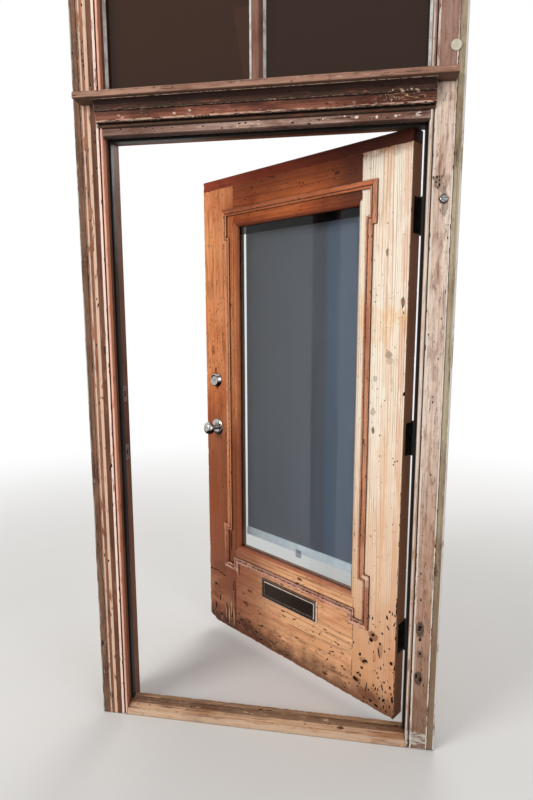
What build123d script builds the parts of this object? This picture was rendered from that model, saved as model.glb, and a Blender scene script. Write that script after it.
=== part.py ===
"""Glazed timber entrance door, hung ajar in its frame with a transom bar and an overlight.

The frame stands with its threshold on z = 0 and the front of its casings on y = 0.
+X points right as seen from the street, +Y points into the building.
The leaf is modelled closed in the frame, then swung open on its hinge pins by rest_angle.
"""

from build123d import *
import os

os.makedirs("parts", exist_ok=True)

# Leaf sizes, in millimetres
leaf_width = 1024.0
leaf_height = 2032.0
leaf_thickness = 57.0
leaf_gap = 3.0
rest_angle = 34.5
stile_width = 187.0
bottom_rail_height = 400.0
top_rail_height = 145.0
lipping_height = 40.0
tenon_length = 90.0
tenon_inset = 50.0
corner_chip_width = 50.0
corner_chip_height = 24.0

# Glazing of the leaf
ovolo_width = 19.0
ovolo_depth = 12.0
quirk_step = 2.0
glass_depth = 22.0
glass_thickness = 6.0
glass_cover = 10.0
rebate_width = 15.0
bead_recess = 3.0

# Eared moulding planted round the glass
band_width = 27.0
band_base = 5.0
band_relief = 8.0
band_flat = 17.0
band_quirk = 3.0
band_margin = 138.5
band_top_margin = 131.0
upper_ear_out = 14.5
upper_ear_length = 142.0
lower_ear_out = 23.5
lower_ear_length = 214.0
lower_ear_drop = 36.0
lower_drop_width = 92.0
band_bottom_margin = 62.0
mitre_kerf = 0.3

# Threshold
threshold_height = 41.5
threshold_depth = 72.0
threshold_nose = 24.0
threshold_slope = 36.0
threshold_groove = 2.5
floor_gap = 3.5

# Posts and casings
post_width = 92.0
post_back_gap = 0.5
casing_thickness = 20.0
casing_width = 73.0
casing_bead = 10.0
casing_quirk = 3.0
casing_quirk_depth = 6.0
strip_width = 25.0
strip_round = 4.0
panel_gap = 0.4
stop_proud = 8.0
head_stop_height = 12.0
stop_width = 24.0
stop_front = 38.0
seal_gap = 0.5

# Transom bar
head_casing_drop = 8.0
transom_height = 93.0
fascia_flat = 28.0
bed_bead = 9.0
bed_band_height = 32.0
bed_band_out = 20.0
bed_fillet_height = 17.0
bed_fillet_out = 26.0
bed_cove_out = 46.0
bed_end_overlap = 15.0
sill_out = 60.0
sill_nosing = 20.0
sill_rise = 7.0
sill_horn = 70.0

# Overlight
overlight_height = 440.0
overlight_head_height = 60.0
pane_depth = 45.0
pane_thickness = 4.0
pane_clearance = 1.0
muntin_x = -10.0
muntin_width = 37.0
muntin_web = 12.0
muntin_front = 12.0
pane_stop_width = 14.0
pane_stop_depth = 18.0
putty_size = 8.0

# Butt hinges
hinge_height = 114.0
hinge_low_level = 309.0
hinge_mid_level = 1039.0
hinge_high_level = 1774.0
knuckle_radius = 6.5
knuckle_count = 5
knuckle_play = 0.2
pin_radius = 3.0
pin_play = 0.05
pin_tip = 4.0
pin_tip_flare = 2.0
pin_tip_gap = 0.1
pin_stand = 7.0
plate_thickness = 2.5
plate_width = 48.0
screw_inset = 14.0
screw_radius = 2.0
screw_head_radius = 4.3
screw_length = 20.0

# Knob lock and deadbolt
backset = 70.0
knob_level = 959.0
deadbolt_level = 1175.0
cross_bore_radius = 27.0
case_radius = 13.0
case_play = 0.05
rose_radius = 36.0
rose_thickness = 7.0
knob_neck_radius = 11.0
knob_radius = 28.0
knob_reach = 68.0
knob_root = 4.0
spindle_size = 8.0
running_play = 0.05
faceplate_width = 26.0
faceplate_height = 57.0
faceplate_thickness = 3.0
latch_height = 16.0
latch_thickness = 12.0
latch_throw = 12.0
latch_tail = 50.0
bolt_height = 20.0
bolt_thickness = 13.0
bolt_throw = 25.0
bolt_length = 48.0
bolt_play = 0.3
guard_radius = 32.0
guard_top_radius = 25.0
guard_reach = 17.0
plug_radius = 7.0
plug_length = 28.0
thumb_width = 34.0
thumb_thickness = 9.0
thumb_reach = 22.0
tailpiece_width = 6.0
tailpiece_thickness = 2.0
strike_thickness = 2.0

# Letter plate
letter_drop = 60.0
letter_width = 310.0
letter_height = 90.0
letter_plate_thickness = 6.0
flap_width = 272.0
flap_height = 58.0
flap_thickness = 2.4
flap_play = 1.5
flap_recess = 4.8
barrel_radius = 2.2
flap_pin_radius = 1.2
letter_slot_width = 254.0
letter_slot_height = 40.0
sleeve_wall = 2.0

# Roller blind on the inside face
roller_rise = 72.0
roller_radius = 17.5
roller_length = 660.0
roller_stand = 29.0
roller_pin_radius = 4.0
roller_pin_length = 6.0
bracket_thickness = 3.0
bracket_width = 40.0
cloth_width = 628.0
cloth_thickness = 0.6
cloth_play = 0.3
hem_rise = 44.0
hem_height = 37.0
hem_thickness = 10.0
tab_width = 30.0
tab_height = 34.0
tab_thickness = 1.5
tab_lap = 14.0

# Small fittings on the frame
disc_radius = 15.5
disc_thickness = 6.0
disc_x = 580.0
disc_level = 2268.0
button_radius = 11.0
button_thickness = 4.0
button_x = 564.0
button_level = 1844.0

# Places worked out from the sizes above
opening_half = leaf_width / 2 + leaf_gap
leaf_half = leaf_width / 2
leaf_front = stop_front + stop_width + seal_gap
leaf_back = leaf_front + leaf_thickness
leaf_bottom = threshold_height + floor_gap
leaf_top = leaf_bottom + leaf_height
post_back = leaf_back - post_back_gap
pin_x = opening_half - leaf_gap / 2
pin_y = leaf_back + pin_stand
soffit = leaf_top + leaf_gap
transom_top = soffit + transom_height
sill_top = transom_top + sill_nosing + sill_rise
overlight_top = sill_top + overlight_height
frame_top = overlight_top + overlight_head_height
face_half = leaf_half - stile_width
sight_half = face_half - ovolo_width
face_low = leaf_bottom + bottom_rail_height
face_high = leaf_top - lipping_height - top_rail_height
sight_low = face_low + ovolo_width
sight_high = face_high - ovolo_width
band_low = face_low - band_bottom_margin
lock_x = -leaf_half + backset
lock_y = leaf_front + leaf_thickness / 2
knob_z = leaf_bottom + knob_level
deadbolt_z = leaf_bottom + deadbolt_level
letter_z = band_low - letter_drop
roller_y = leaf_back + roller_stand
roller_z = sight_high + roller_rise
cloth_y = roller_y - roller_radius - cloth_play - cloth_thickness / 2
hem_z = sight_low + hem_rise

hinge_levels = (hinge_low_level, hinge_mid_level, hinge_high_level)

hinge_line = Axis((pin_x, pin_y, 0), (0, 0, 1))


def front(depth):
    """Upright plane at a depth behind the casings, facing the street."""
    return Plane.XZ.offset(-depth)


def level(height):
    """Level plane at a height above the floor."""
    return Plane.XY.offset(height)


def side(place):
    """Upright plane across the frame, facing the hinge side."""
    return Plane.YZ.offset(place)


def back(depth):
    """Upright plane at a depth behind the casings, facing the room."""
    return Plane(origin=(0, depth, 0), x_dir=(-1, 0, 0), z_dir=(0, 1, 0))


def turning(x, z, inside):
    """Plane through a turned fitting: local x leads off the leaf, local y is the radius."""
    if inside:
        return Plane(origin=(x, leaf_back, z), x_dir=(0, 1, 0), z_dir=(1, 0, 0))
    return Plane(origin=(x, leaf_front, z), x_dir=(0, -1, 0), z_dir=(-1, 0, 0))


def save(piece, label):
    """Write a piece that belongs to the frame."""
    piece.part.label = label
    export_step(piece.part, f"parts/{label}.step")


def save_on_leaf(piece, label):
    """Write a piece that the leaf carries, swung open with it."""
    swung = piece.part.rotate(hinge_line, -rest_angle)
    swung.label = label
    export_step(swung, f"parts/{label}.step")


# Frame: threshold with a sloped front and a groove that the closed leaf stands behind
with BuildPart() as threshold:
    with BuildSketch(side(-opening_half)) as threshold_section:
        with BuildLine():
            Polyline(
                (0, 0),
                (0, threshold_nose),
                (threshold_slope, threshold_height),
                (threshold_depth, threshold_height),
                (threshold_depth, 0),
                close=True,
            )
        make_face()
        nose = threshold_section.vertices().group_by(Axis.X)[0].sort_by(Axis.Y)[-1]
        fillet(nose, threshold_groove)
        with Locations((leaf_front - seal_gap - stop_width / 2, threshold_height)):
            Rectangle(threshold_groove, 2 * threshold_groove, mode=Mode.SUBTRACT)
    extrude(amount=2 * opening_half)

save(threshold, "threshold")


# Frame: posts, each one heavy upright that the casing is planted on
def post(hand):
    """Upright of the frame; hand is 1 on the hinge side and -1 on the lock side."""
    centre = hand * (opening_half + post_width / 2)
    depth = post_back - casing_thickness
    with BuildPart() as upright:
        with BuildSketch(level(0)):
            with Locations((centre, casing_thickness + depth / 2)):
                Rectangle(post_width, depth)
        extrude(amount=frame_top)
    return upright


def screw_places(centre_z):
    """Four places in a zigzag down one hinge plate."""
    pitch = (hinge_height - 2 * screw_inset) / 3
    near = pin_y - plate_width + screw_inset
    far = near + plate_width / 3
    rows = [centre_z - hinge_height / 2 + screw_inset + pitch * step for step in range(4)]
    return [(near if step % 2 else far, rows[step]) for step in range(4)]


def hinge_mortises(hand):
    """Seats of the hinge plates and shank holes of their screws, in a post or a leaf edge."""
    face = opening_half if hand > 0 else leaf_half
    with BuildPart() as cuts:
        for hinge_z in hinge_levels:
            with BuildSketch(side(face)):
                with Locations((pin_y - plate_width / 2, leaf_bottom + hinge_z)):
                    Rectangle(plate_width, hinge_height)
            extrude(amount=hand * plate_thickness)
            with BuildSketch(side(face)):
                with Locations(*screw_places(leaf_bottom + hinge_z)):
                    Circle(screw_radius)
            extrude(amount=hand * screw_length)
    return cuts


def bolt_pocket(centre_z, height, thickness, depth):
    """Pocket in the lock-side post that a bolt shoots into, with the strike plate's seat."""
    with BuildPart() as pocket:
        with BuildSketch(side(-opening_half)):
            with Locations((lock_y, centre_z)):
                Rectangle(thickness + 4, height + 4)
        extrude(amount=-depth)
        with BuildSketch(side(-opening_half)):
            with Locations((lock_y, centre_z)):
                Rectangle(faceplate_width, faceplate_height)
        extrude(amount=-strike_thickness)
    return pocket


hinge_upright = post(1)
post_mortises = hinge_mortises(1)
with BuildPart() as post_right:
    add(hinge_upright.part)
    add(post_mortises.part, mode=Mode.SUBTRACT)
save(post_right, "post_right")

lock_upright = post(-1)
latch_pocket = bolt_pocket(knob_z, latch_height, latch_thickness, latch_throw + 6)
deadbolt_pocket = bolt_pocket(deadbolt_z, bolt_height, bolt_thickness, bolt_throw + 6)
with BuildPart() as post_left:
    add(lock_upright.part)
    add(latch_pocket.part, mode=Mode.SUBTRACT)
    add(deadbolt_pocket.part, mode=Mode.SUBTRACT)
save(post_left, "post_left")


# Frame: casing boards with a round bead and a quirk along the opening
def casing(hand):
    """Front board of one post, beaded along its opening edge."""
    inner = opening_half
    outer = inner + casing_width
    radius = casing_bead / 2
    quirk_start = inner + casing_bead
    quirk_end = quirk_start + casing_quirk
    with BuildPart() as board:
        with BuildSketch(level(0)) as section:
            with BuildLine():
                Polyline((inner, radius), (inner, casing_thickness), (outer, casing_thickness),
                         (outer, 0), (quirk_end, 0), (quirk_end, casing_quirk_depth),
                         (quirk_start, casing_quirk_depth), (quirk_start, radius))
                ThreePointArc((quirk_start, radius), (inner + radius, 0), (inner, radius))
            make_face()
        extrude(amount=frame_top)
        if hand < 0:
            mirror(about=Plane.YZ, mode=Mode.REPLACE)
    return board


def outer_strip(hand):
    """Narrow batten beside the casing, with rounded front edges."""
    inner = opening_half + casing_width + panel_gap
    with BuildPart() as strip:
        with BuildSketch(level(0)) as section:
            with Locations((hand * (inner + strip_width / 2), casing_thickness / 2)):
                Rectangle(strip_width, casing_thickness)
            fillet(section.vertices().group_by(Axis.Y)[0], strip_round)
        extrude(amount=frame_top)
    return strip


for hand, name in ((1, "right"), (-1, "left")):
    save(casing(hand), f"casing_{name}")
    save(outer_strip(hand), f"outer_strip_{name}")


# Frame: planted stops that the leaf closes against
with BuildPart() as side_stops:
    with BuildSketch(level(threshold_height)) as stop_plan:
        for hand in (1, -1):
            with Locations((hand * (opening_half - stop_proud / 2), stop_front + stop_width / 2)):
                Rectangle(stop_proud, stop_width)
        fillet(stop_plan.vertices().filter_by_position(Axis.X, 1 - opening_half, opening_half - 1), 2)
    extrude(amount=soffit - threshold_height)
save(side_stops, "side_stops")

with BuildPart() as stop_head:
    with BuildSketch(side(-opening_half + stop_proud)) as stop_section:
        with Locations((stop_front + stop_width / 2, soffit - head_stop_height / 2)):
            Rectangle(stop_width, head_stop_height)
        fillet(stop_section.vertices().group_by(Axis.Y)[0], 2)
    extrude(amount=2 * (opening_half - stop_proud))
save(stop_head, "stop_head")


# Transom bar: rail between the posts
with BuildPart() as transom_rail:
    with BuildSketch(side(-opening_half)):
        with Locations(((casing_thickness + post_back) / 2, soffit + transom_height / 2)):
            Rectangle(post_back - casing_thickness, transom_height)
    extrude(amount=2 * opening_half)
save(transom_rail, "transom_rail")

# Transom bar: head casing, a flat board that hangs a little below the rail
with BuildPart() as head_casing:
    with BuildSketch(side(-opening_half)) as fascia_section:
        with Locations((casing_thickness / 2, (soffit - head_casing_drop + transom_top) / 2)):
            Rectangle(casing_thickness, transom_height + head_casing_drop)
        fillet(fascia_section.vertices().group_by(Axis.Y)[0].sort_by(Axis.X)[0], 3)
    extrude(amount=2 * opening_half)
save(head_casing, "head_casing")

# Transom bar: bed moulding with a bead, a leaning band, a fillet and a cove
bed_low = soffit - head_casing_drop + fascia_flat
bed_band_low = bed_low + bed_bead + 3
bed_fillet_low = bed_band_low + bed_band_height
bed_cove_low = bed_fillet_low + bed_fillet_height
bed_half = opening_half + bed_end_overlap

with BuildPart() as bed_moulding:
    with BuildSketch(side(-bed_half)) as bed_section:
        with BuildLine():
            ThreePointArc(
                (-1, bed_low),
                (-1 - bed_bead / 2, bed_low + bed_bead / 2),
                (-1, bed_low + bed_bead),
            )
            Polyline(
                (-1, bed_low + bed_bead),
                (-1, bed_band_low),
                (-bed_band_out + 8, bed_band_low),
                (-bed_band_out + 5, bed_band_low + 3),
                (-bed_band_out, bed_fillet_low - 2),
                (-bed_band_out, bed_fillet_low),
                (-bed_fillet_out, bed_fillet_low),
                (-bed_fillet_out, bed_cove_low),
            )
            RadiusArc((-bed_fillet_out, bed_cove_low), (-bed_cove_out, transom_top), -22)
            Polyline((-bed_cove_out, transom_top), (0, transom_top), (0, bed_low), (-1, bed_low))
        make_face()
    extrude(amount=2 * bed_half)
save(bed_moulding, "bed_moulding")

# Transom bar: sill with a round nosing, and horns that run out over the casings
with BuildPart() as transom_sill:
    with BuildSketch(side(-opening_half - sill_horn)) as sill_section:
        with BuildLine():
            Polyline(
                (-sill_out, transom_top),
                (-sill_out, transom_top + sill_nosing),
                (pane_depth - putty_size, sill_top),
                (post_back, sill_top),
                (post_back, transom_top),
                close=True,
            )
        make_face()
        fillet(sill_section.vertices().group_by(Axis.X)[0], 4)
    extrude(amount=2 * (opening_half + sill_horn))
    with BuildSketch(level(transom_top - 1)):
        with Locations((opening_half + sill_horn, post_back / 2), (-opening_half - sill_horn, post_back / 2)):
            Rectangle(2 * sill_horn, post_back)
    extrude(amount=frame_top - transom_top, mode=Mode.SUBTRACT)
save(transom_sill, "transom_sill")


# Overlight: head rail and its casing
with BuildPart() as overlight_head:
    with BuildSketch(side(-opening_half)):
        with Locations(((casing_thickness + post_back) / 2, (overlight_top + frame_top) / 2)):
            Rectangle(post_back - casing_thickness, overlight_head_height)
    extrude(amount=2 * opening_half)
save(overlight_head, "overlight_head")

with BuildPart() as overlight_head_casing:
    with BuildSketch(side(-opening_half)) as overlight_fascia:
        with Locations((casing_thickness / 2, (overlight_top + frame_top) / 2)):
            Rectangle(casing_thickness, overlight_head_height)
        fillet(overlight_fascia.vertices().group_by(Axis.Y)[0].sort_by(Axis.X)[0], 3)
    extrude(amount=2 * opening_half)
save(overlight_head_casing, "overlight_head_casing")

# Overlight: muntin with a tapering front and a web between the panes
muntin_back = pane_depth + pane_thickness + pane_stop_depth
with BuildPart() as muntin:
    with BuildSketch(level(sill_top)) as muntin_section:
        half = muntin_width / 2
        web = muntin_web / 2
        with BuildLine():
            Polyline(
                (muntin_x - half, pane_depth),
                (muntin_x - half, pane_depth - putty_size),
                (muntin_x - half / 2, muntin_front),
                (muntin_x + half / 2, muntin_front),
                (muntin_x + half, pane_depth - putty_size),
                (muntin_x + half, pane_depth),
                (muntin_x + web, pane_depth),
                (muntin_x + web, muntin_back),
                (muntin_x - web, muntin_back),
                (muntin_x - web, pane_depth),
                close=True,
            )
        make_face()
        fillet(muntin_section.vertices().group_by(Axis.Y)[0], 5)
    extrude(amount=overlight_height)
save(muntin, "muntin")

# Overlight: panes, each from the post to the web of the muntin
pane_spans = {
    "left": (-opening_half, muntin_x - muntin_web / 2),
    "right": (muntin_x + muntin_web / 2, opening_half),
}


def pane(span):
    """One flat pane with a little clearance all round."""
    width = span[1] - span[0] - 2 * pane_clearance
    with BuildPart() as glass:
        with BuildSketch(front(pane_depth)):
            with Locations(((span[0] + span[1]) / 2, (sill_top + overlight_top) / 2)):
                Rectangle(width, overlight_height - 2 * pane_clearance)
        extrude(amount=-pane_thickness)
    return glass


for name, span in pane_spans.items():
    save(pane(span), f"pane_{name}")

# Overlight: wooden stops behind the panes
with BuildPart() as pane_stops:
    for span in pane_spans.values():
        with BuildSketch(front(pane_depth + pane_thickness)):
            with Locations(((span[0] + span[1]) / 2, (sill_top + overlight_top) / 2)):
                Rectangle(span[1] - span[0], overlight_height)
                inner_width = span[1] - span[0] - 2 * pane_stop_width
                Rectangle(inner_width, overlight_height - 2 * pane_stop_width, mode=Mode.SUBTRACT)
        extrude(amount=-pane_stop_depth)
save(pane_stops, "pane_stops")

# Overlight: putty fillets round the panes, from the wood down to the glass
putty_spans = (
    (-opening_half, muntin_x - muntin_width / 2),
    (muntin_x + muntin_width / 2, opening_half),
)
with BuildPart() as putty:
    for span in putty_spans:
        with BuildSketch(front(pane_depth)):
            with Locations(((span[0] + span[1]) / 2, (sill_top + overlight_top) / 2)):
                Rectangle(span[1] - span[0], overlight_height)
        extrude(amount=putty_size)
        with BuildSketch(front(pane_depth)):
            with Locations(((span[0] + span[1]) / 2, (sill_top + overlight_top) / 2)):
                inner_width = span[1] - span[0] - 2 * putty_size
                Rectangle(inner_width, overlight_height - 2 * putty_size)
        extrude(amount=2 * putty_size, taper=-45, mode=Mode.SUBTRACT)
save(putty, "putty")


# Leaf: stiles and rails, mitred together round the glass
def opening_edge(origin, toward):
    """Plane across one edge of the glass opening: local x leads into the opening, local y is depth."""
    return Plane(origin=origin, x_dir=toward, z_dir=Vector(*toward).cross(Vector(0, 1, 0)))


def leaf_member(outline, edge, run):
    """Stile or rail of the leaf with its ovolo and its glass rebate."""
    with BuildPart() as member:
        with BuildSketch(front(leaf_front)):
            with BuildLine():
                Polyline(*outline, close=True)
            make_face()
        extrude(amount=-leaf_thickness)
        with BuildSketch(edge):
            with BuildLine():
                Polyline(
                    (ovolo_width, quirk_step + ovolo_depth),
                    (ovolo_width + 1, quirk_step + ovolo_depth),
                    (ovolo_width + 1, -1),
                    (0, -1),
                    (0, quirk_step),
                    (quirk_step, quirk_step),
                )
                ThreePointArc(
                    (quirk_step, quirk_step),
                    (ovolo_width * 0.72, quirk_step + ovolo_depth * 0.32),
                    (ovolo_width, quirk_step + ovolo_depth),
                )
            make_face()
            with Locations((ovolo_width - rebate_width + 10, glass_depth + leaf_thickness / 2)):
                Rectangle(20, leaf_thickness)
        extrude(amount=run, both=True, mode=Mode.SUBTRACT)
    return member


def tenon_rows(low, high, count):
    """Centres and height of the tenons that one rail end carries."""
    free = high - low - (count + 1) * tenon_inset
    height = free / count
    centres = [low + tenon_inset + height / 2 + step * (height + tenon_inset) for step in range(count)]
    return centres, height


def tenons(low, high, count):
    """Tenons at both ends of a rail, a third of the leaf thick."""
    centres, height = tenon_rows(low, high, count)
    with BuildPart() as group:
        for hand in (1, -1):
            with BuildSketch(front(leaf_front + leaf_thickness / 3)):
                with Locations(*[(hand * (face_half + tenon_length / 2), row) for row in centres]):
                    Rectangle(tenon_length, height)
            extrude(amount=-leaf_thickness / 3)
    return group


leaf_rail_top = leaf_top - lipping_height
top_tenons = tenons(face_high, leaf_rail_top, 1)
bottom_tenons = tenons(leaf_bottom, face_low, 2)
mid_glass = (face_low + face_high) / 2


def stile(hand):
    """Upright of the leaf, mitred at the two corners of the glass and mortised for the rails."""
    outline = [(hand * x, z) for x, z in (
        (leaf_half, leaf_bottom),
        (face_half, leaf_bottom),
        (face_half, face_low),
        (sight_half, sight_low),
        (sight_half, sight_high),
        (face_half, face_high),
        (face_half, leaf_rail_top),
        (leaf_half, leaf_rail_top),
    )]
    edge = opening_edge((hand * face_half, leaf_front, mid_glass), (-hand, 0, 0))
    member = leaf_member(outline, edge, (face_high - face_low) / 2 + ovolo_width)
    with BuildPart() as upright:
        add(member.part)
        add(top_tenons.part, mode=Mode.SUBTRACT)
        add(bottom_tenons.part, mode=Mode.SUBTRACT)
    return upright


hinge_member = stile(1)
leaf_mortises = hinge_mortises(-1)
with BuildPart() as hinge_stile:
    add(hinge_member.part)
    add(leaf_mortises.part, mode=Mode.SUBTRACT)
save_on_leaf(hinge_stile, "hinge_stile")

lock_member = stile(-1)
with BuildPart() as lock_stile:
    add(lock_member.part)
    with BuildSketch(front(leaf_front)):
        with Locations((lock_x, knob_z), (lock_x, deadbolt_z)):
            Circle(cross_bore_radius)
    extrude(amount=-leaf_thickness, mode=Mode.SUBTRACT)
    with BuildSketch(side(-leaf_half)):
        with Locations((lock_y, knob_z), (lock_y, deadbolt_z)):
            Circle(case_radius)
    extrude(amount=backset, mode=Mode.SUBTRACT)
    with BuildSketch(side(-leaf_half)):
        with Locations((lock_y, knob_z), (lock_y, deadbolt_z)):
            Rectangle(faceplate_width, faceplate_height)
    extrude(amount=faceplate_thickness, mode=Mode.SUBTRACT)
    with BuildSketch(front(leaf_front)):
        with BuildLine():
            Polyline(
                (-leaf_half, leaf_bottom),
                (-leaf_half, leaf_bottom + corner_chip_height),
                (-leaf_half + corner_chip_width * 0.3, leaf_bottom + corner_chip_height * 0.62),
                (-leaf_half + corner_chip_width * 0.64, leaf_bottom + corner_chip_height * 0.38),
                (-leaf_half + corner_chip_width, leaf_bottom),
                close=True,
            )
        make_face()
    extrude(amount=-leaf_thickness, mode=Mode.SUBTRACT)
save_on_leaf(lock_stile, "lock_stile")

top_member = leaf_member(
    [
        (-face_half, leaf_rail_top),
        (face_half, leaf_rail_top),
        (face_half, face_high),
        (sight_half, sight_high),
        (-sight_half, sight_high),
        (-face_half, face_high),
    ],
    opening_edge((0, leaf_front, face_high), (0, 0, -1)),
    face_half + 1,
)
with BuildPart() as top_rail:
    add(top_member.part)
    add(top_tenons.part)
save_on_leaf(top_rail, "top_rail")

bottom_member = leaf_member(
    [
        (-face_half, leaf_bottom),
        (face_half, leaf_bottom),
        (face_half, face_low),
        (sight_half, sight_low),
        (-sight_half, sight_low),
        (-face_half, face_low),
    ],
    opening_edge((0, leaf_front, face_low), (0, 0, 1)),
    face_half + 1,
)
with BuildPart() as bottom_rail:
    add(bottom_member.part)
    add(bottom_tenons.part)
    with BuildSketch(front(leaf_front)):
        with Locations((0, letter_z)):
            Rectangle(letter_slot_width + 2 * sleeve_wall, letter_slot_height + 2 * sleeve_wall)
    extrude(amount=-leaf_thickness, mode=Mode.SUBTRACT)
save_on_leaf(bottom_rail, "bottom_rail")

with BuildPart() as lipping:
    with BuildSketch(front(leaf_front)):
        with Locations((0, leaf_top - lipping_height / 2)):
            Rectangle(leaf_width, lipping_height)
    extrude(amount=-leaf_thickness)
    chamfer(lipping.edges().filter_by(Axis.X).group_by(Axis.Z)[-1], 1.5)
save_on_leaf(lipping, "top_lipping")


# Leaf: glass and the beads that hold it from the room side
sight_width = 2 * sight_half
sight_height = sight_high - sight_low
sight_centre = (0, (sight_low + sight_high) / 2)

with BuildPart() as glass:
    with BuildSketch(front(leaf_front + glass_depth)):
        with Locations(sight_centre):
            Rectangle(sight_width + 2 * glass_cover, sight_height + 2 * glass_cover)
    extrude(amount=-glass_thickness)
save_on_leaf(glass, "glass_pane")


def mitre_saw(half_width, low, high, reach):
    """Thin diagonal blades through the four corners of a rectangle."""
    with BuildPart() as blades:
        for hand in (1, -1):
            for height, turn in ((low, -1), (high, 1)):
                with BuildSketch(front(0)):
                    with Locations(Location((hand * half_width, height), hand * turn * 45)):
                        Rectangle(reach, mitre_kerf)
                extrude(amount=-post_back, both=True)
    return blades


bead_front = leaf_front + glass_depth + glass_thickness
saw = mitre_saw(
    sight_half + rebate_width / 2,
    sight_low - rebate_width / 2,
    sight_high + rebate_width / 2,
    4 * rebate_width,
)
with BuildPart() as glazing_beads:
    with BuildSketch(front(bead_front)):
        with Locations(sight_centre):
            Rectangle(sight_width + 2 * rebate_width, sight_height + 2 * rebate_width)
            Rectangle(sight_width, sight_height, mode=Mode.SUBTRACT)
    extrude(amount=-(leaf_back - bead_front - bead_recess))
    room_edges = glazing_beads.edges().group_by(Axis.Y)[-1]
    chamfer(room_edges.filter_by(lambda edge: abs(edge.center().X) < sight_half + 1
                                 and sight_low - 1 < edge.center().Z < sight_high + 1), 6)
    add(saw.part, mode=Mode.SUBTRACT)
save_on_leaf(glazing_beads, "glazing_beads")


# Leaf: eared moulding round the glass, a band with a quirk and an inner bead
run_half = leaf_half - band_margin
upper_half = run_half + upper_ear_out
lower_half = run_half + lower_ear_out
drop_half = lower_half - lower_drop_width
band_high = leaf_top - band_top_margin
drop_low = band_low - lower_ear_drop
upper_ear_low = band_high - upper_ear_length
lower_ear_high = drop_low + lower_ear_length

right_half_outline = [
    (drop_half, band_low),
    (drop_half, drop_low),
    (lower_half, drop_low),
    (lower_half, lower_ear_high),
    (run_half, lower_ear_high),
    (run_half, upper_ear_low),
    (upper_half, upper_ear_low),
    (upper_half, band_high),
]
ear_outline = right_half_outline + [(-x, z) for x, z in reversed(right_half_outline)]


def eared_ring(inset, width, height):
    """Layer of the moulding: a strip of one width at one inset that follows the ears."""
    with BuildPart() as ring:
        with BuildSketch(front(leaf_front)):
            with BuildLine():
                Polyline(*ear_outline, close=True)
            make_face()
            if inset:
                offset(amount=-inset, kind=Kind.INTERSECTION, mode=Mode.REPLACE)
            offset(amount=-width, kind=Kind.INTERSECTION, mode=Mode.SUBTRACT)
        extrude(amount=height)
    return ring


bead_inset = band_flat + band_quirk
moulding_base = eared_ring(0, band_width, band_base)
moulding_band = eared_ring(0, band_flat, band_relief)
moulding_bead = eared_ring(bead_inset, band_width - bead_inset, band_relief - 1)
with BuildPart() as eared_moulding:
    add(moulding_base.part)
    add(moulding_band.part)
    add(moulding_bead.part)
    crown = eared_moulding.faces().sort_by(Axis.Y)[0]
    chamfer(crown.edges(), 2)

ear_reach = 260.0
ear_sides = {
    "top": [
        (-upper_half - ear_reach, band_high + ear_reach),
        (upper_half + ear_reach, band_high + ear_reach),
        (upper_half - ear_reach, band_high - ear_reach),
        (-upper_half + ear_reach, band_high - ear_reach),
    ],
    "bottom": [
        (-lower_half - ear_reach, drop_low - ear_reach),
        (lower_half + ear_reach, drop_low - ear_reach),
        (lower_half - ear_reach, drop_low + ear_reach),
        (-lower_half + ear_reach, drop_low + ear_reach),
    ],
    "hinge_side": [
        (upper_half + ear_reach, band_high + ear_reach),
        (upper_half - ear_reach, band_high - ear_reach),
        (lower_half - ear_reach, drop_low + ear_reach),
        (lower_half + ear_reach, drop_low - ear_reach),
    ],
    "lock_side": [
        (-upper_half - ear_reach, band_high + ear_reach),
        (-upper_half + ear_reach, band_high - ear_reach),
        (-lower_half + ear_reach, drop_low + ear_reach),
        (-lower_half - ear_reach, drop_low - ear_reach),
    ],
}


def moulding_length(outline):
    """One length of the eared moulding, cut out between its two mitres."""
    with BuildPart() as length:
        add(eared_moulding.part)
        with BuildSketch(front(leaf_front)):
            with BuildLine():
                Polyline(*outline, close=True)
            make_face()
        extrude(amount=2 * band_relief, mode=Mode.INTERSECT)
    return length


for name, outline in ear_sides.items():
    save_on_leaf(moulding_length(outline), f"moulding_{name}")


# Hinges: knuckles share one pin; the frame half has the odd ones
def knuckle_rows(centre_z, odd):
    """Middles and height of the knuckles of one half."""
    pitch = hinge_height / knuckle_count
    low = centre_z - hinge_height / 2
    steps = range(0 if odd else 1, knuckle_count, 2)
    return [low + pitch * (step + 0.5) for step in steps], pitch - knuckle_play


def hinge_half(centre_z, on_frame):
    """Plate and knuckles of one half, with countersunk screw holes."""
    rows, height = knuckle_rows(centre_z, on_frame)
    face = opening_half if on_frame else leaf_half
    hand = 1 if on_frame else -1
    flat_end = leaf_back - post_back_gap
    flat_start = pin_y - plate_width
    with BuildPart() as half:
        with BuildSketch(side(face)):
            with Locations(((flat_start + flat_end) / 2, centre_z)):
                Rectangle(flat_end - flat_start, hinge_height)
            with Locations(*[((flat_end + pin_y) / 2, row) for row in rows]):
                Rectangle(pin_y - flat_end, height)
        extrude(amount=hand * plate_thickness)
        for row in rows:
            with BuildSketch(level(row - height / 2)):
                with Locations((pin_x, pin_y)):
                    Circle(knuckle_radius)
            extrude(amount=height)
        with BuildSketch(level(centre_z - hinge_height / 2)):
            with Locations((pin_x, pin_y)):
                Circle(pin_radius + pin_play)
        extrude(amount=hinge_height, mode=Mode.SUBTRACT)
        with BuildSketch(side(face)):
            with Locations(*screw_places(centre_z)):
                Circle(screw_head_radius)
        extrude(amount=hand * plate_thickness, taper=40, mode=Mode.SUBTRACT)
        with BuildSketch(side(face)):
            with Locations(*screw_places(centre_z)):
                Circle(screw_radius)
        extrude(amount=hand * plate_thickness, mode=Mode.SUBTRACT)
    return half


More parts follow.
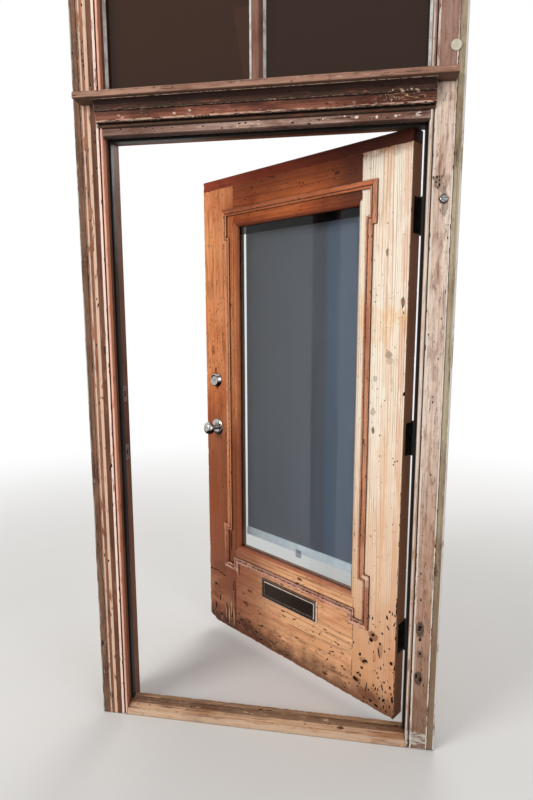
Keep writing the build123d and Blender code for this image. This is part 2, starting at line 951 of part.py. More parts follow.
def hinge_screws(on_frame):
    """All countersunk screws of one set of hinge halves."""
    face = opening_half if on_frame else leaf_half
    hand = 1 if on_frame else -1
    with BuildPart() as screws:
        for hinge_z in hinge_levels:
            places = screw_places(leaf_bottom + hinge_z)
            with BuildSketch(side(face)):
                with Locations(*places):
                    Circle(screw_radius)
            extrude(amount=hand * screw_length)
            with BuildSketch(side(face)):
                with Locations(*places):
                    Circle(screw_head_radius)
            extrude(amount=hand * plate_thickness, taper=40)
    return screws


frame_halves = [hinge_half(leaf_bottom + hinge_z, True) for hinge_z in hinge_levels]
with BuildPart() as frame_hinges:
    for half in frame_halves:
        add(half.part)
save(frame_hinges, "hinges_frame_half")

leaf_halves = [hinge_half(leaf_bottom + hinge_z, False) for hinge_z in hinge_levels]
with BuildPart() as leaf_hinges:
    for half in leaf_halves:
        add(half.part)
save_on_leaf(leaf_hinges, "hinges_leaf_half")

save(hinge_screws(True), "hinge_screws_frame")
save_on_leaf(hinge_screws(False), "hinge_screws_leaf")

with BuildPart() as hinge_pins:
    for hinge_z in hinge_levels:
        pin_low = leaf_bottom + hinge_z - hinge_height / 2
        with BuildSketch(level(pin_low - pin_tip)):
            with Locations((pin_x, pin_y)):
                Circle(pin_radius)
        extrude(amount=hinge_height + 2 * pin_tip)
        for tip_low in (pin_low - pin_tip, pin_low + hinge_height + pin_tip_gap):
            with BuildSketch(level(tip_low)):
                with Locations((pin_x, pin_y)):
                    Circle(pin_radius + pin_tip_flare)
            extrude(amount=pin_tip - pin_tip_gap)
save(hinge_pins, "hinge_pins")


# Locks: tubular cases with faceplates
def tube_case(centre_z, height, thickness, length):
    """Tubular case from the leaf edge, with its faceplate and the slot that the bolt runs in."""
    with BuildPart() as case:
        with BuildSketch(side(-leaf_half)):
            with Locations((lock_y, centre_z)):
                Rectangle(faceplate_width, faceplate_height)
        extrude(amount=faceplate_thickness)
        with BuildSketch(side(-leaf_half)):
            with Locations((lock_y, centre_z)):
                Circle(case_radius - case_play)
        extrude(amount=length)
        with BuildSketch(side(-leaf_half)):
            with Locations((lock_y, centre_z)):
                Rectangle(thickness + 2 * bolt_play, height + 2 * bolt_play)
        extrude(amount=length, mode=Mode.SUBTRACT)
        with BuildSketch(side(-leaf_half)):
            screw_row = faceplate_height / 2 - 6
            with Locations((lock_y, centre_z - screw_row), (lock_y, centre_z + screw_row)):
                Circle(2.5)
        extrude(amount=1.2, mode=Mode.SUBTRACT)
    return case


case_length = backset - cross_bore_radius + 12
latch_case = tube_case(knob_z, latch_height, latch_thickness, case_length)
deadbolt_case = tube_case(deadbolt_z, bolt_height, bolt_thickness, case_length)
with BuildPart() as lock_cases:
    add(latch_case.part)
    add(deadbolt_case.part)
save_on_leaf(lock_cases, "lock_cases")

with BuildPart() as latch_bolt:
    with BuildSketch(level(knob_z - latch_height / 2)):
        tip = -leaf_half - latch_throw
        near = lock_y - latch_thickness / 2
        far = lock_y + latch_thickness / 2
        with BuildLine():
            Polyline(
                (tip, far),
                (tip + latch_tail + latch_throw, far),
                (tip + latch_tail + latch_throw, near),
                (tip + latch_throw, near),
                (tip, far - 1.5),
                close=True,
            )
        make_face()
    extrude(amount=latch_height)
save_on_leaf(latch_bolt, "latch_bolt")

with BuildPart() as deadbolt_bolt:
    with BuildSketch(side(-leaf_half)) as bolt_section:
        with Locations((lock_y, deadbolt_z)):
            RectangleRounded(bolt_thickness, bolt_height, 2)
    extrude(amount=bolt_length)
    chamfer(deadbolt_bolt.faces().sort_by(Axis.X)[0].edges(), 0.8)
save_on_leaf(deadbolt_bolt, "deadbolt_bolt")


def strike(centre_z, height, thickness):
    """Flat plate let into the post, with the hole that the bolt enters."""
    with BuildPart() as plate:
        with BuildSketch(side(-opening_half)):
            with Locations((lock_y, centre_z)):
                Rectangle(faceplate_width, faceplate_height)
                Rectangle(thickness + 3, height + 3, mode=Mode.SUBTRACT)
            screw_row = faceplate_height / 2 - 7
            with Locations((lock_y, centre_z - screw_row), (lock_y, centre_z + screw_row)):
                Circle(2.5, mode=Mode.SUBTRACT)
        extrude(amount=-strike_thickness)
    return plate


latch_strike = strike(knob_z, latch_height, latch_thickness)
deadbolt_strike = strike(deadbolt_z, bolt_height, bolt_thickness)
with BuildPart() as strike_plates:
    add(latch_strike.part)
    add(deadbolt_strike.part)
save(strike_plates, "strike_plates")


# Locks: turned furniture
def rose(plane, radius, thickness, hole):
    """Domed round plate with a clear hole."""
    with BuildPart() as plate:
        with BuildSketch(plane):
            with BuildLine():
                Polyline((0, hole), (0, radius), (thickness * 0.35, radius))
                ThreePointArc(
                    (thickness * 0.35, radius),
                    (thickness * 0.85, radius * 0.8),
                    (thickness, hole + 2),
                )
                Polyline((thickness, hole + 2), (thickness, hole), (0, hole))
            make_face()
        revolve(axis=Axis(plane.origin, plane.x_dir))
    return plate


def knob(plane):
    """Round knob on a waisted neck."""
    with BuildPart() as handle:
        with BuildSketch(plane):
            with BuildLine():
                Polyline(
                    (-knob_root, 0),
                    (-knob_root, knob_neck_radius),
                    (knob_reach * 0.36, knob_neck_radius),
                )
                ThreePointArc(
                    (knob_reach * 0.36, knob_neck_radius),
                    (knob_reach * 0.47, knob_radius * 0.62),
                    (knob_reach * 0.58, knob_radius * 0.88),
                )
                ThreePointArc(
                    (knob_reach * 0.58, knob_radius * 0.88),
                    (knob_reach * 0.79, knob_radius),
                    (knob_reach, knob_radius * 0.42),
                )
                Polyline((knob_reach, knob_radius * 0.42), (knob_reach, 0), (-knob_root, 0))
            make_face()
        revolve(axis=Axis(plane.origin, plane.x_dir))
    return handle


knob_hole = knob_neck_radius + running_play
outer_rose = rose(turning(lock_x, knob_z, False), rose_radius, rose_thickness, knob_hole)
inner_rose = rose(turning(lock_x, knob_z, True), rose_radius, rose_thickness, knob_hole)
with BuildPart() as knob_roses:
    add(outer_rose.part)
    add(inner_rose.part)
save_on_leaf(knob_roses, "knob_roses")

outer_handle = knob(turning(lock_x, knob_z, False))
with BuildPart() as knob_outer:
    add(outer_handle.part)
    with BuildSketch(front(leaf_front)):
        with Locations((lock_x, knob_z)):
            Rectangle(spindle_size, spindle_size)
    extrude(amount=knob_root - leaf_thickness)
save_on_leaf(knob_outer, "knob_outer")
save_on_leaf(knob(turning(lock_x, knob_z, True)), "knob_inner")

with BuildPart() as cylinder_guard:
    guard_plane = turning(lock_x, deadbolt_z, False)
    with BuildSketch(guard_plane):
        with BuildLine():
            Polyline(
                (0, plug_radius + running_play),
                (0, guard_radius),
                (3, guard_radius),
                (guard_reach - 3, guard_top_radius + 1.5),
                (guard_reach, guard_top_radius - 2),
                (guard_reach - 2, guard_top_radius - 8),
                (guard_reach - 2, plug_radius + running_play),
                close=True,
            )
        make_face()
    revolve(axis=Axis(guard_plane.origin, guard_plane.x_dir))
save_on_leaf(cylinder_guard, "cylinder_guard")

with BuildPart() as key_plug:
    with BuildSketch(front(leaf_front - guard_reach + 2)):
        with Locations((lock_x, deadbolt_z)):
            Circle(plug_radius)
    extrude(amount=-plug_length)
    with BuildSketch(front(leaf_front - guard_reach + 2)):
        with Locations((lock_x, deadbolt_z - 0.5)):
            Rectangle(1.6, plug_radius * 1.3)
    extrude(amount=-plug_length * 0.6, mode=Mode.SUBTRACT)
save_on_leaf(key_plug, "key_plug")

thumb_hole = 8 + running_play
save_on_leaf(rose(turning(lock_x, deadbolt_z, True), guard_radius, rose_thickness + 2, thumb_hole), "thumb_rose")

with BuildPart() as thumbturn:
    thumb_plane = turning(lock_x, deadbolt_z, True)
    with BuildSketch(back(leaf_back)):
        with Locations((-lock_x, deadbolt_z)):
            Circle(8)
    extrude(amount=rose_thickness + 5)
    with BuildSketch(back(leaf_back + rose_thickness + 4)):
        with Locations((-lock_x, deadbolt_z)):
            SlotOverall(thumb_width, thumb_thickness)
    extrude(amount=thumb_reach - rose_thickness, taper=4)
    with BuildSketch(back(leaf_back - leaf_thickness + plug_length - guard_reach + 4)):
        with Locations((-lock_x, deadbolt_z)):
            Rectangle(tailpiece_width, tailpiece_thickness)
    extrude(until=Until.NEXT)
save_on_leaf(thumbturn, "thumbturn")


# Letter plate: a recessed frame on each face, joined by a sleeve through the rail
flap_top = letter_z + flap_height / 2 + 1
axle_z = flap_top - barrel_radius - 0.3


def letter_face(inside):
    """Plane of the letter plate on one face of the leaf, facing away from the leaf."""
    return back(leaf_back) if inside else front(leaf_front)


def letter_plate(inside):
    """Bevelled plate with a recess for its flap and the slot behind it."""
    plane = letter_face(inside)
    top = plane.offset(letter_plate_thickness)
    with BuildPart() as plate:
        with BuildSketch(plane):
            with Locations((0, letter_z)):
                Rectangle(letter_width, letter_height)
        extrude(amount=letter_plate_thickness)
        outer = plate.faces().sort_by(Axis(plane.origin, plane.z_dir))[-1]
        chamfer(outer.edges(), 2)
        with BuildSketch(top):
            with Locations((0, flap_top - flap_height / 2)):
                Rectangle(flap_width + 2 * flap_play, flap_height + 2)
        extrude(amount=-flap_recess, mode=Mode.SUBTRACT)
        with BuildSketch(plane):
            with Locations((0, letter_z)):
                Rectangle(letter_slot_width, letter_slot_height)
        extrude(amount=letter_plate_thickness, mode=Mode.SUBTRACT)
        with BuildSketch(side(-flap_width / 2 - flap_play - 4)):
            with Locations((axle_depth(inside), axle_z)):
                Circle(flap_pin_radius)
        extrude(amount=flap_width + 2 * flap_play + 8, mode=Mode.SUBTRACT)
    return plate


def axle_depth(inside):
    """Depth of the flap's axle, just below the front of its plate."""
    sink = letter_plate_thickness - barrel_radius - 0.3
    return leaf_back + sink if inside else leaf_front - sink


def letter_flap(inside):
    """Flap hung on its barrel, with a groove round its face."""
    centre = axle_depth(inside)
    plane = back(centre - flap_thickness / 2) if inside else front(centre + flap_thickness / 2)
    with BuildPart() as flap:
        with BuildSketch(plane):
            with Locations((0, axle_z - flap_height / 2 + barrel_radius)):
                Rectangle(flap_width, flap_height - 2 * barrel_radius)
        extrude(amount=flap_thickness)
        with BuildSketch(side(-flap_width / 2)):
            with Locations((centre, axle_z)):
                Circle(barrel_radius)
        extrude(amount=flap_width)
        with BuildSketch(side(-flap_width / 2)):
            with Locations((centre, axle_z)):
                Circle(flap_pin_radius + running_play)
        extrude(amount=flap_width, mode=Mode.SUBTRACT)
    return flap


save_on_leaf(letter_plate(False), "letter_plate_outer")
save_on_leaf(letter_plate(True), "letter_plate_inner")
save_on_leaf(letter_flap(False), "letter_flap_outer")
save_on_leaf(letter_flap(True), "letter_flap_inner")

with BuildPart() as flap_pins:
    for inside in (False, True):
        with BuildSketch(side(-flap_width / 2 - flap_play - 4)):
            with Locations((axle_depth(inside), axle_z)):
                Circle(flap_pin_radius)
        extrude(amount=flap_width + 2 * flap_play + 8)
save_on_leaf(flap_pins, "letter_flap_pins")

with BuildPart() as letter_sleeve:
    with BuildSketch(front(leaf_front)):
        with Locations((0, letter_z)):
            Rectangle(letter_slot_width + 2 * sleeve_wall, letter_slot_height + 2 * sleeve_wall)
            Rectangle(letter_slot_width, letter_slot_height, mode=Mode.SUBTRACT)
    extrude(amount=-leaf_thickness)
save_on_leaf(letter_sleeve, "letter_sleeve")


# Roller blind: brackets, roller, cloth, hem bar and pull tab
bracket_face = roller_length / 2 + 2
with BuildPart() as blind_brackets:
    for hand in (1, -1):
        with BuildSketch(side(hand * bracket_face)):
            with Locations(((leaf_back + roller_y + 10) / 2, roller_z)):
                RectangleRounded(roller_stand + 10, bracket_width, 3)
            with Locations((roller_y, roller_z)):
                Circle(roller_pin_radius + running_play, mode=Mode.SUBTRACT)
        extrude(amount=hand * bracket_thickness)
        with BuildSketch(back(leaf_back)):
            with Locations((-hand * (bracket_face + bracket_width / 4), roller_z)):
                Rectangle(bracket_width / 2, bracket_width)
        extrude(amount=bracket_thickness)
save_on_leaf(blind_brackets, "blind_brackets")

with BuildPart() as blind_roller:
    with BuildSketch(side(-roller_length / 2)):
        with Locations((roller_y, roller_z)):
            Circle(roller_radius)
    extrude(amount=roller_length)
    with BuildSketch(side(-roller_length / 2 - roller_pin_length)):
        with Locations((roller_y, roller_z)):
            Circle(roller_pin_radius)
    extrude(amount=roller_length + 2 * roller_pin_length)
save_on_leaf(blind_roller, "blind_roller")

hem_top = hem_z + hem_height
with BuildPart() as blind_cloth:
    with BuildSketch(back(cloth_y - cloth_thickness / 2)):
        with Locations((0, (hem_top + roller_z) / 2)):
            Rectangle(cloth_width, roller_z - hem_top)
    extrude(amount=cloth_thickness)
save_on_leaf(blind_cloth, "blind_cloth")

with BuildPart() as hem_bar:
    with BuildSketch(side(-cloth_width / 2)):
        with Locations((cloth_y, hem_z + hem_height / 2)):
            RectangleRounded(hem_thickness, hem_height, 3)
    extrude(amount=cloth_width)
save_on_leaf(hem_bar, "hem_bar")

with BuildPart() as pull_tab:
    with BuildSketch(front(cloth_y - hem_thickness / 2)) as tab_outline:
        with Locations((0, hem_z + tab_lap - tab_height / 2)):
            RectangleRounded(tab_width, tab_height, 5)
    extrude(amount=tab_thickness)
save_on_leaf(pull_tab, "pull_tab")


# Small fittings on the right casing
with BuildPart() as cover_disc:
    with BuildSketch(front(0)):
        with Locations((disc_x, disc_level)):
            Circle(disc_radius)
    extrude(amount=disc_thickness)
    fillet(cover_disc.edges().group_by(Axis.Y)[0], 2.5)
save(cover_disc, "cover_disc")

with BuildPart() as metal_button:
    with BuildSketch(front(0)):
        with Locations((button_x, button_level)):
            Circle(button_radius)
    extrude(amount=button_thickness)
    fillet(metal_button.edges().group_by(Axis.Y)[0], 2.5)
save(metal_button, "metal_button")
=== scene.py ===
"""Finishes, blind cloth, camera and studio for the glazed entrance door in its frame."""

import math
import random

import bmesh
import bpy
from mathutils import Matrix, Vector


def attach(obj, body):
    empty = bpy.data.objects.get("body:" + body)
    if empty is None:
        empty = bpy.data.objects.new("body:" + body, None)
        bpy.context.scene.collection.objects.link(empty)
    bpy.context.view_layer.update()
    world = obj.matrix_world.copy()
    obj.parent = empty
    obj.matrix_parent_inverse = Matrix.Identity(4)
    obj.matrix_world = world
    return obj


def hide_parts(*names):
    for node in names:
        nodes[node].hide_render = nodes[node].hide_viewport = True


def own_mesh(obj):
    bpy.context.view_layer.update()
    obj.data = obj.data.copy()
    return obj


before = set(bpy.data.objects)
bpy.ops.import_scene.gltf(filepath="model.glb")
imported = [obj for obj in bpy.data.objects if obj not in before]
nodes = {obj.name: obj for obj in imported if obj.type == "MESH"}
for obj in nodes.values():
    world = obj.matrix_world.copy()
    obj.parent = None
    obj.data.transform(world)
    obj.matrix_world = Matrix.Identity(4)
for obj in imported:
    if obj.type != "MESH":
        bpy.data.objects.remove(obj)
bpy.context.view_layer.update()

# Metres. Places on the leaf are given as if it were closed; SWUNG turns them about the hinge pins.
REST = math.radians(34.5)
PIN = Vector((0.5135, 0.1265, 0.0))
SWUNG = Matrix.Translation(PIN) @ Matrix.Rotation(-REST, 4, "Z") @ Matrix.Translation(-PIN)
LEAF_FRONT = 0.0625
LEAF_BACK = 0.1195
CASING_FRONT = 0.0


def metres(values):
    """Millimetres as metres."""
    return [value / 1000 for value in values]


def mm(*rows):
    """Rows that give lengths in millimetres and end in one plain number."""
    return [(*metres(row[:-1]), row[-1]) for row in rows]


def add(name, data):
    """A new object in the scene."""
    added = bpy.data.objects.new(name, data)
    bpy.context.scene.collection.objects.link(added)
    return added


def mesh_from(name, made, *materials):
    """The mesh of a finished bmesh."""
    mesh = bpy.data.meshes.new(name)
    made.to_mesh(mesh)
    made.free()
    for material in materials:
        mesh.materials.append(material)
    return mesh


def rgb(r, g, b):
    """Colour written as in an image editor, 0 to 255, as a linear colour."""
    def linear(v):
        v = v / 255
        return ((v + 0.055) / 1.055) ** 2.4 if v > 0.04045 else v / 12.92
    return (linear(r), linear(g), linear(b), 1.0)


class Graph:
    """A material's node graph, with short calls for the nodes used here."""

    def __init__(self, name):
        self.mat = bpy.data.materials.new(name)
        self.mat.use_nodes = True
        self.tree = self.mat.node_tree
        self.tree.nodes.clear()
        self.out = self.tree.nodes.new("ShaderNodeOutputMaterial")
        self.bsdf = self.tree.nodes.new("ShaderNodeBsdfPrincipled")
        self.tree.links.new(self.bsdf.outputs[0], self.out.inputs[0])

    def put(self, socket, value):
        """Links or sets a socket; None leaves it alone."""
        if isinstance(value, bpy.types.NodeSocket):
            self.tree.links.new(value, socket)
        elif value is not None:
            socket.default_value = value

    def new(self, kind, inputs=(), **props):
        node = self.tree.nodes.new("ShaderNode" + kind)
        for key, value in props.items():
            setattr(node, key, value)
        for key, value in dict(inputs).items():
            self.put(node.inputs[key], value)
        return node

    def math(self, operation, a, b=None, c=None, clamp=False):
        return self.new("Math", {0: a, 1: b, 2: c}, operation=operation, use_clamp=clamp).outputs[0]

    def times(self, a, b):
        return self.math("MULTIPLY", a, b)

    def scaled(self, value, factor, offset):
        return self.math("MULTIPLY_ADD", value, factor, offset)

    def vec(self, operation, a, b=None):
        node = self.new("VectorMath", {0: a, 1: b}, operation=operation)
        return node.outputs["Value" if operation in ("LENGTH", "DOT_PRODUCT") else "Vector"]

    def split(self, vector):
        return self.new("SeparateXYZ", {"Vector": vector}).outputs

    def step(self, value, low, high):
        """0 below low, 1 above high; low may be the larger one."""
        node = self.new("MapRange", {"Value": value}, interpolation_type="SMOOTHSTEP", clamp=True)
        ends = (low, high, 0.0, 1.0) if low < high else (high, low, 1.0, 0.0)
        for key, end in zip(("From Min", "From Max", "To Min", "To Max"), ends):
            node.inputs[key].default_value = end
        return node.outputs[0]

    def between(self, value, low, high, soft):
        """1 from low to high, falling to 0 over soft on both sides."""
        return self.times(self.step(value, low - soft, low), self.step(value, high + soft, high))

    def noise(self, vector, scale=1.0, detail=4.0, rough=0.55, distort=0.0):
        return self.new("TexNoise", {"Vector": vector, "Scale": scale, "Detail": detail, "Roughness": rough,
                                     "Distortion": distort}).outputs["Fac"]

    def cells(self, vector, scale):
        """How near the middle of the nearest cell is, and a colour for each cell."""
        node = self.new("TexVoronoi", {"Vector": vector, "Scale": scale})
        return node.outputs["Distance"], node.outputs["Color"]

    def mix(self, fac, a, b):
        return self.new("Mix", {0: fac, 6: a, 7: b}, data_type="RGBA", clamp_factor=True).outputs[2]

    def lay(self, base, mask, amount, colour):
        """Lays a colour over base where the mask is 1."""
        return self.mix(self.times(mask, amount), base, colour)

    def bump(self, height, distance, strength, normal=None):
        return self.new("Bump", {"Height": height, "Distance": distance, "Strength": strength,
                                 "Normal": normal}).outputs[0]

    def rounded(self, radius):
        """The normal with the sharp edges rounded off."""
        return self.new("Bevel", {"Radius": radius}, samples=4).outputs[0]

    def arris(self, rounded, flat):
        """1 along the sharp edges, 0 where the rounded normal is the real one."""
        face = self.new("NewGeometry").outputs["Normal"]
        return self.step(self.vec("DOT_PRODUCT", rounded, face), flat, 0.90)

    def place(self, on_leaf):
        """Where the surface is, in metres; for the leaf's pieces, in the closed leaf's own place."""
        spot = self.new("TexCoord").outputs["Object"]
        if not on_leaf:
            return spot
        return self.new("VectorRotate", {"Vector": spot, "Center": PIN, "Angle": REST},
                        rotation_type="Z_AXIS").outputs[0]

    def marks(self, spot, places, rag):
        """Soft ragged spots at (x, z, half width, half height, strength), whatever the depth."""
        x, _, z = self.split(spot)
        wobble = self.times(self.math("SUBTRACT", self.noise(spot, 42.0, 6.0, 0.75), 0.5), 5 * rag)
        total = None
        for px, pz, rx, rz, strength in places:
            offset = self.new("CombineXYZ", {0: self.scaled(x, 1 / rx, -px / rx), 1: 0.0,
                                             2: self.scaled(z, 1 / rz, -pz / rz)}).outputs[0]
            reach = self.math("ADD", self.vec("LENGTH", offset), wobble)
            mask = self.times(self.step(reach, 1.15, 0.75), strength)
            total = mask if total is None else self.math("MAXIMUM", total, mask)
        return total

    def finish(self, colour=None, rough=None, normal=None, metal=None, **sockets):
        sockets.update({"Base Color": colour, "Roughness": rough, "Normal": normal, "Metallic": metal})
        for key, value in sockets.items():
            self.put(self.bsdf.inputs[key.replace("_", " ")], value)
        return self.mat


def wood(name, on_leaf, along, dark, mid, light, worn=None, pitch=0.012, sway=34.0, lines=0.3, fibre=0.5,
         blotch=0.6, pits=0.6, checks=0.4, rough=0.55, grime_and_shade=0.8, wear=0.6, streaky=0.5, flecks=0.0,
         finish=None):
    """Old stripped wood: growth lines and fibres along one axis, blotches, dents, pinholes and drying
    cracks, darkening in the inner corners that is partly grime and partly painted shade, and paler worn arrises."""
    g = Graph(name)
    spot = g.place(on_leaf)
    x, y, z = g.split(spot)
    upright = along == "Z"
    across = g.scaled(y, 0.8, x if upright else z)

    def stretched(amount, vector=spot):
        return g.vec("MULTIPLY", vector, (1.0, 1.0, amount) if upright else (amount, 1.0, 1.0))

    grain = stretched(0.05)
    drift = g.times(g.noise(grain, 9.0, 3.0, 0.5), sway)
    rings = g.math("SINE", g.scaled(across, 2 * math.pi / pitch, drift))
    bold = g.step(g.noise(grain, 34.0, 2.0), 0.38, 0.62)
    ring_mask = g.times(g.step(rings, 0.35, 0.98), g.scaled(bold, 0.75, 0.25))
    fine_pitch = 0.37 * pitch
    fine_lines = g.math("SINE", g.scaled(across, 2 * math.pi / fine_pitch, g.times(drift, 2.1)))
    fibres = g.noise(stretched(0.03), 520.0, 4.0, 0.7)
    streaks = g.noise(stretched(0.045), 105.0, 5.0, 0.72)
    mottle = g.noise(stretched(0.45), 60.0, 5.0, 0.72)
    broad = g.noise(grain, 26.0, 4.0, 0.6)
    patches = g.noise(stretched(0.6), 6.0, 4.0, 0.6, 0.6)
    base = g.mix(g.step(patches, 0.62 - blotch * 0.3, 0.62 + blotch * 0.15), light, mid)
    base = g.lay(base, g.step(broad, 0.42, 0.72), 0.6, mid)
    base = g.lay(base, g.step(streaks, 0.53, 0.66), streaky * 0.75, light)
    base = g.lay(base, g.step(streaks, 0.47, 0.33), streaky, dark)
    base = g.lay(base, ring_mask, lines, dark)
    base = g.lay(base, g.step(fine_lines, 0.5, 1.0), lines * 0.4, dark)
    base = g.lay(base, g.step(fibres, 0.48, 0.72), fibre, dark)
    base = g.lay(base, g.step(mottle, 0.55, 0.72), streaky * 0.7, dark)
    if flecks:
        base = g.lay(base, g.step(g.noise(stretched(0.16), 210.0, 3.0, 0.6), 0.62, 0.68), flecks, worn or light)

    shake = g.new("TexNoise", {"Vector": spot, "Scale": 90.0}).outputs["Color"]
    squeezed = stretched(0.45, g.vec("ADD", spot, g.vec("MULTIPLY", shake, (0.006, 0.006, 0.006))))
    near, pick = g.cells(squeezed, 30.0)
    chosen = g.step(g.split(pick)[0], 1.0 - pits * 0.5, 1.02 - pits * 0.5)
    size = g.scaled(g.split(pick)[1], 0.16, 0.05)
    dent = g.times(g.step(g.math("SUBTRACT", near, size), 0.04, -0.02), chosen)
    near_fine, pick_fine = g.cells(squeezed, 88.0)
    rare = g.step(g.split(pick_fine)[1], 0.93 - pits * 0.16, 0.95 - pits * 0.16)
    fine = g.times(g.step(near_fine, 0.26, 0.12), rare)
    thin, pick_thin = g.cells(stretched(0.035), 85.0)
    rare = g.step(g.split(pick_thin)[0], 1.0 - checks * 0.3, 1.01 - checks * 0.3)
    check = g.times(g.step(thin, 0.13, 0.05), rare)
    holes = g.math("MAXIMUM", g.math("MAXIMUM", dent, g.times(fine, 0.75)), g.times(check, 0.8))
    pit_colour = tuple(0.22 * c for c in dark[:3]) + (1.0,)
    base = g.lay(base, holes, 0.85, pit_colour)

    height = g.scaled(fibres, -0.3, g.times(ring_mask, -0.25))
    height = g.scaled(streaks, 0.9, height)
    height = g.scaled(holes, -1.6, height)
    shine = g.scaled(patches, 0.25, rough - 0.12)
    if finish is not None:
        base, shine, height = finish(g, spot, base, shine, height)

    rounded = g.rounded(0.0018)
    edge = g.arris(rounded, 0.985)
    open_air = g.new("AmbientOcclusion", {"Distance": 0.014}, samples=6).outputs["AO"]
    ragged = g.noise(spot, 130.0, 5.0, 0.7)
    pale_edges = g.times(g.times(edge, g.step(open_air, 0.62, 0.80)), g.step(ragged, 0.40, 0.56))
    base = g.lay(base, pale_edges, wear, worn or light)
    # Painted shade: the occlusion node darkens inner corners and creases, along with grime.
    corner_grime_and_shade = g.math("ADD", open_air, g.times(g.math("SUBTRACT", ragged, 0.5), 0.35))
    base = g.lay(base, g.step(corner_grime_and_shade, 0.74, 0.40), grime_and_shade, pit_colour)
    return g.finish(base, shine, g.bump(height, 0.0014, 0.85, rounded), Specular_IOR_Level=0.16)


def paint(names, material):
    """Gives nodes of the frame their finish."""
    for node in names.split():
        slots = nodes[node].data.materials
        slots.clear()
        slots.append(material)


def chain(*steps):
    """Several changes of a finish, one after the other."""
    def finish(g, spot, base, shine, height):
        for one in steps:
            base, shine, height = one(g, spot, base, shine, height)
        return base, shine, height
    return finish


def set_back(low, high, colour, strength=0.9):
    """Darker wood where the surface lies back from the leaf's face, but not on the room side: partly the
    wood's own darker tone and partly painted shade in the recesses.
    """
    def finish(g, spot, base, shine, height):
        y = g.split(spot)[1]
        sunk = g.times(g.step(y, low, high), g.step(y, LEAF_BACK - 0.001, LEAF_BACK - 0.004))
        shade_patchiness = g.math("MULTIPLY_ADD", g.noise(spot, 60.0, 4.0), 0.5, 0.65, clamp=True)
        return g.lay(base, g.times(sunk, shade_patchiness), strength, colour), shine, height
    return finish


def fade(axis, start, end, colour, strength, ragged=0.15, scale=10.0):
    """A change of tone along x, y or z, nothing at start and full at end."""
    def finish(g, spot, base, shine, height):
        value = g.split(spot)["xyz".index(axis)]
        sway = g.scaled(g.math("SUBTRACT", g.noise(spot, scale, 4.0), 0.5), 2 * ragged, value)
        return g.lay(base, g.step(sway, start, end), strength, colour), shine, height
    return finish


def band(axis, low, high, soft, colour, strength, patchy=0.0, scale=40.0):
    """A strip of another tone between two values of x, y or z, whole or broken up in patches."""
    def finish(g, spot, base, shine, height):
        mask = g.between(g.split(spot)["xyz".index(axis)], low, high, soft)
        if patchy:
            drawn_out = g.vec("MULTIPLY", spot, (1.0, 1.0, 0.22) if axis == "x" else (0.22, 1.0, 1.0))
            pattern = g.noise(drawn_out, scale * 2.0, 5.0, 0.65)
            mask = g.times(mask, g.step(pattern, 0.32 + patchy * 0.2, 0.42 + patchy * 0.2))
        return g.lay(base, mask, strength, colour), shine, height
    return finish


def spots(places, colour, deep=0.0, rag=0.35):
    """Knots, holes, cracks and stains at measured places."""
    def finish(g, spot, base, shine, height):
        mask = g.marks(spot, places, rag)
        base = g.mix(mask, base, colour)
        if deep:
            height = g.scaled(mask, -deep, height)
        return base, shine, height
    return finish


# Leaf finishes
BROWN = rgb(70, 38, 24)
OVOLO = rgb(168, 94, 68)
# Painted shade: dark lines in the quirks and under the projecting parts of the head.
SHADE_LINE = rgb(34, 20, 14)
# Sunk faces round the glass are darkened by set_back: partly darker wood and partly painted shade.
FACE_SET_BACK = (0.0635, 0.068)
# Painted light: the hinge edge, which lies in shade, is made paler.
hinge_edge_painted_light = band("x", 0.5112, 0.52, 0.0004, rgb(196, 146, 114), 0.85)
# Painted shade in the quirks and sunk parts of the mouldings, on partly darker wood.
moulding_back = set_back(0.0550, 0.0585, rgb(52, 26, 18), 0.85)

paint("hinge_stile", wood(
    "hinge_stile_wood", True, "Z", rgb(178, 104, 62), rgb(252, 222, 184), rgb(255, 248, 230), rgb(255, 244, 224),
    pitch=0.009, sway=52.0, lines=0.6, fibre=0.25, blotch=0.25, pits=0.3, checks=0.35, streaky=0.34, finish=chain(
        band("x", 0.428, 0.446, 0.006, rgb(224, 162, 116), 0.3, 0.2, 14.0),
        band("x", 0.486, 0.504, 0.004, rgb(224, 150, 112), 0.4, 0.45, 9.0),
        fade("z", 1.25, 0.55, rgb(226, 172, 126), 0.5, 0.25, 6.0),
        fade("z", 0.62, 0.28, rgb(208, 140, 92), 0.6, 0.12, 9.0),
        fade("z", 0.17, 0.05, rgb(104, 60, 38), 0.8, 0.05, 30.0),
        # Painted shadow of the transom across the top of the stile.
        fade("z", 2.00, 2.045, rgb(150, 92, 54), 0.8, 0.03, 40.0),
        spots(mm((446, 1370, 13, 14, 0.6), (395, 1286, 9, 12, 0.45), (392, 1169, 10, 14, 0.4),
            (452, 1350, 16, 12, 0.3)), rgb(122, 100, 76), 0.0),
        spots(mm((418, 332, 20, 18, 0.7), (380, 218, 24, 12, 0.5), (400, 90, 50, 22, 0.6), (350, 125, 22, 12, 0.6),
            (450, 290, 12, 30, 0.4)), rgb(112, 62, 38), 0.1),
        set_back(*FACE_SET_BACK, BROWN),
        hinge_edge_painted_light)))
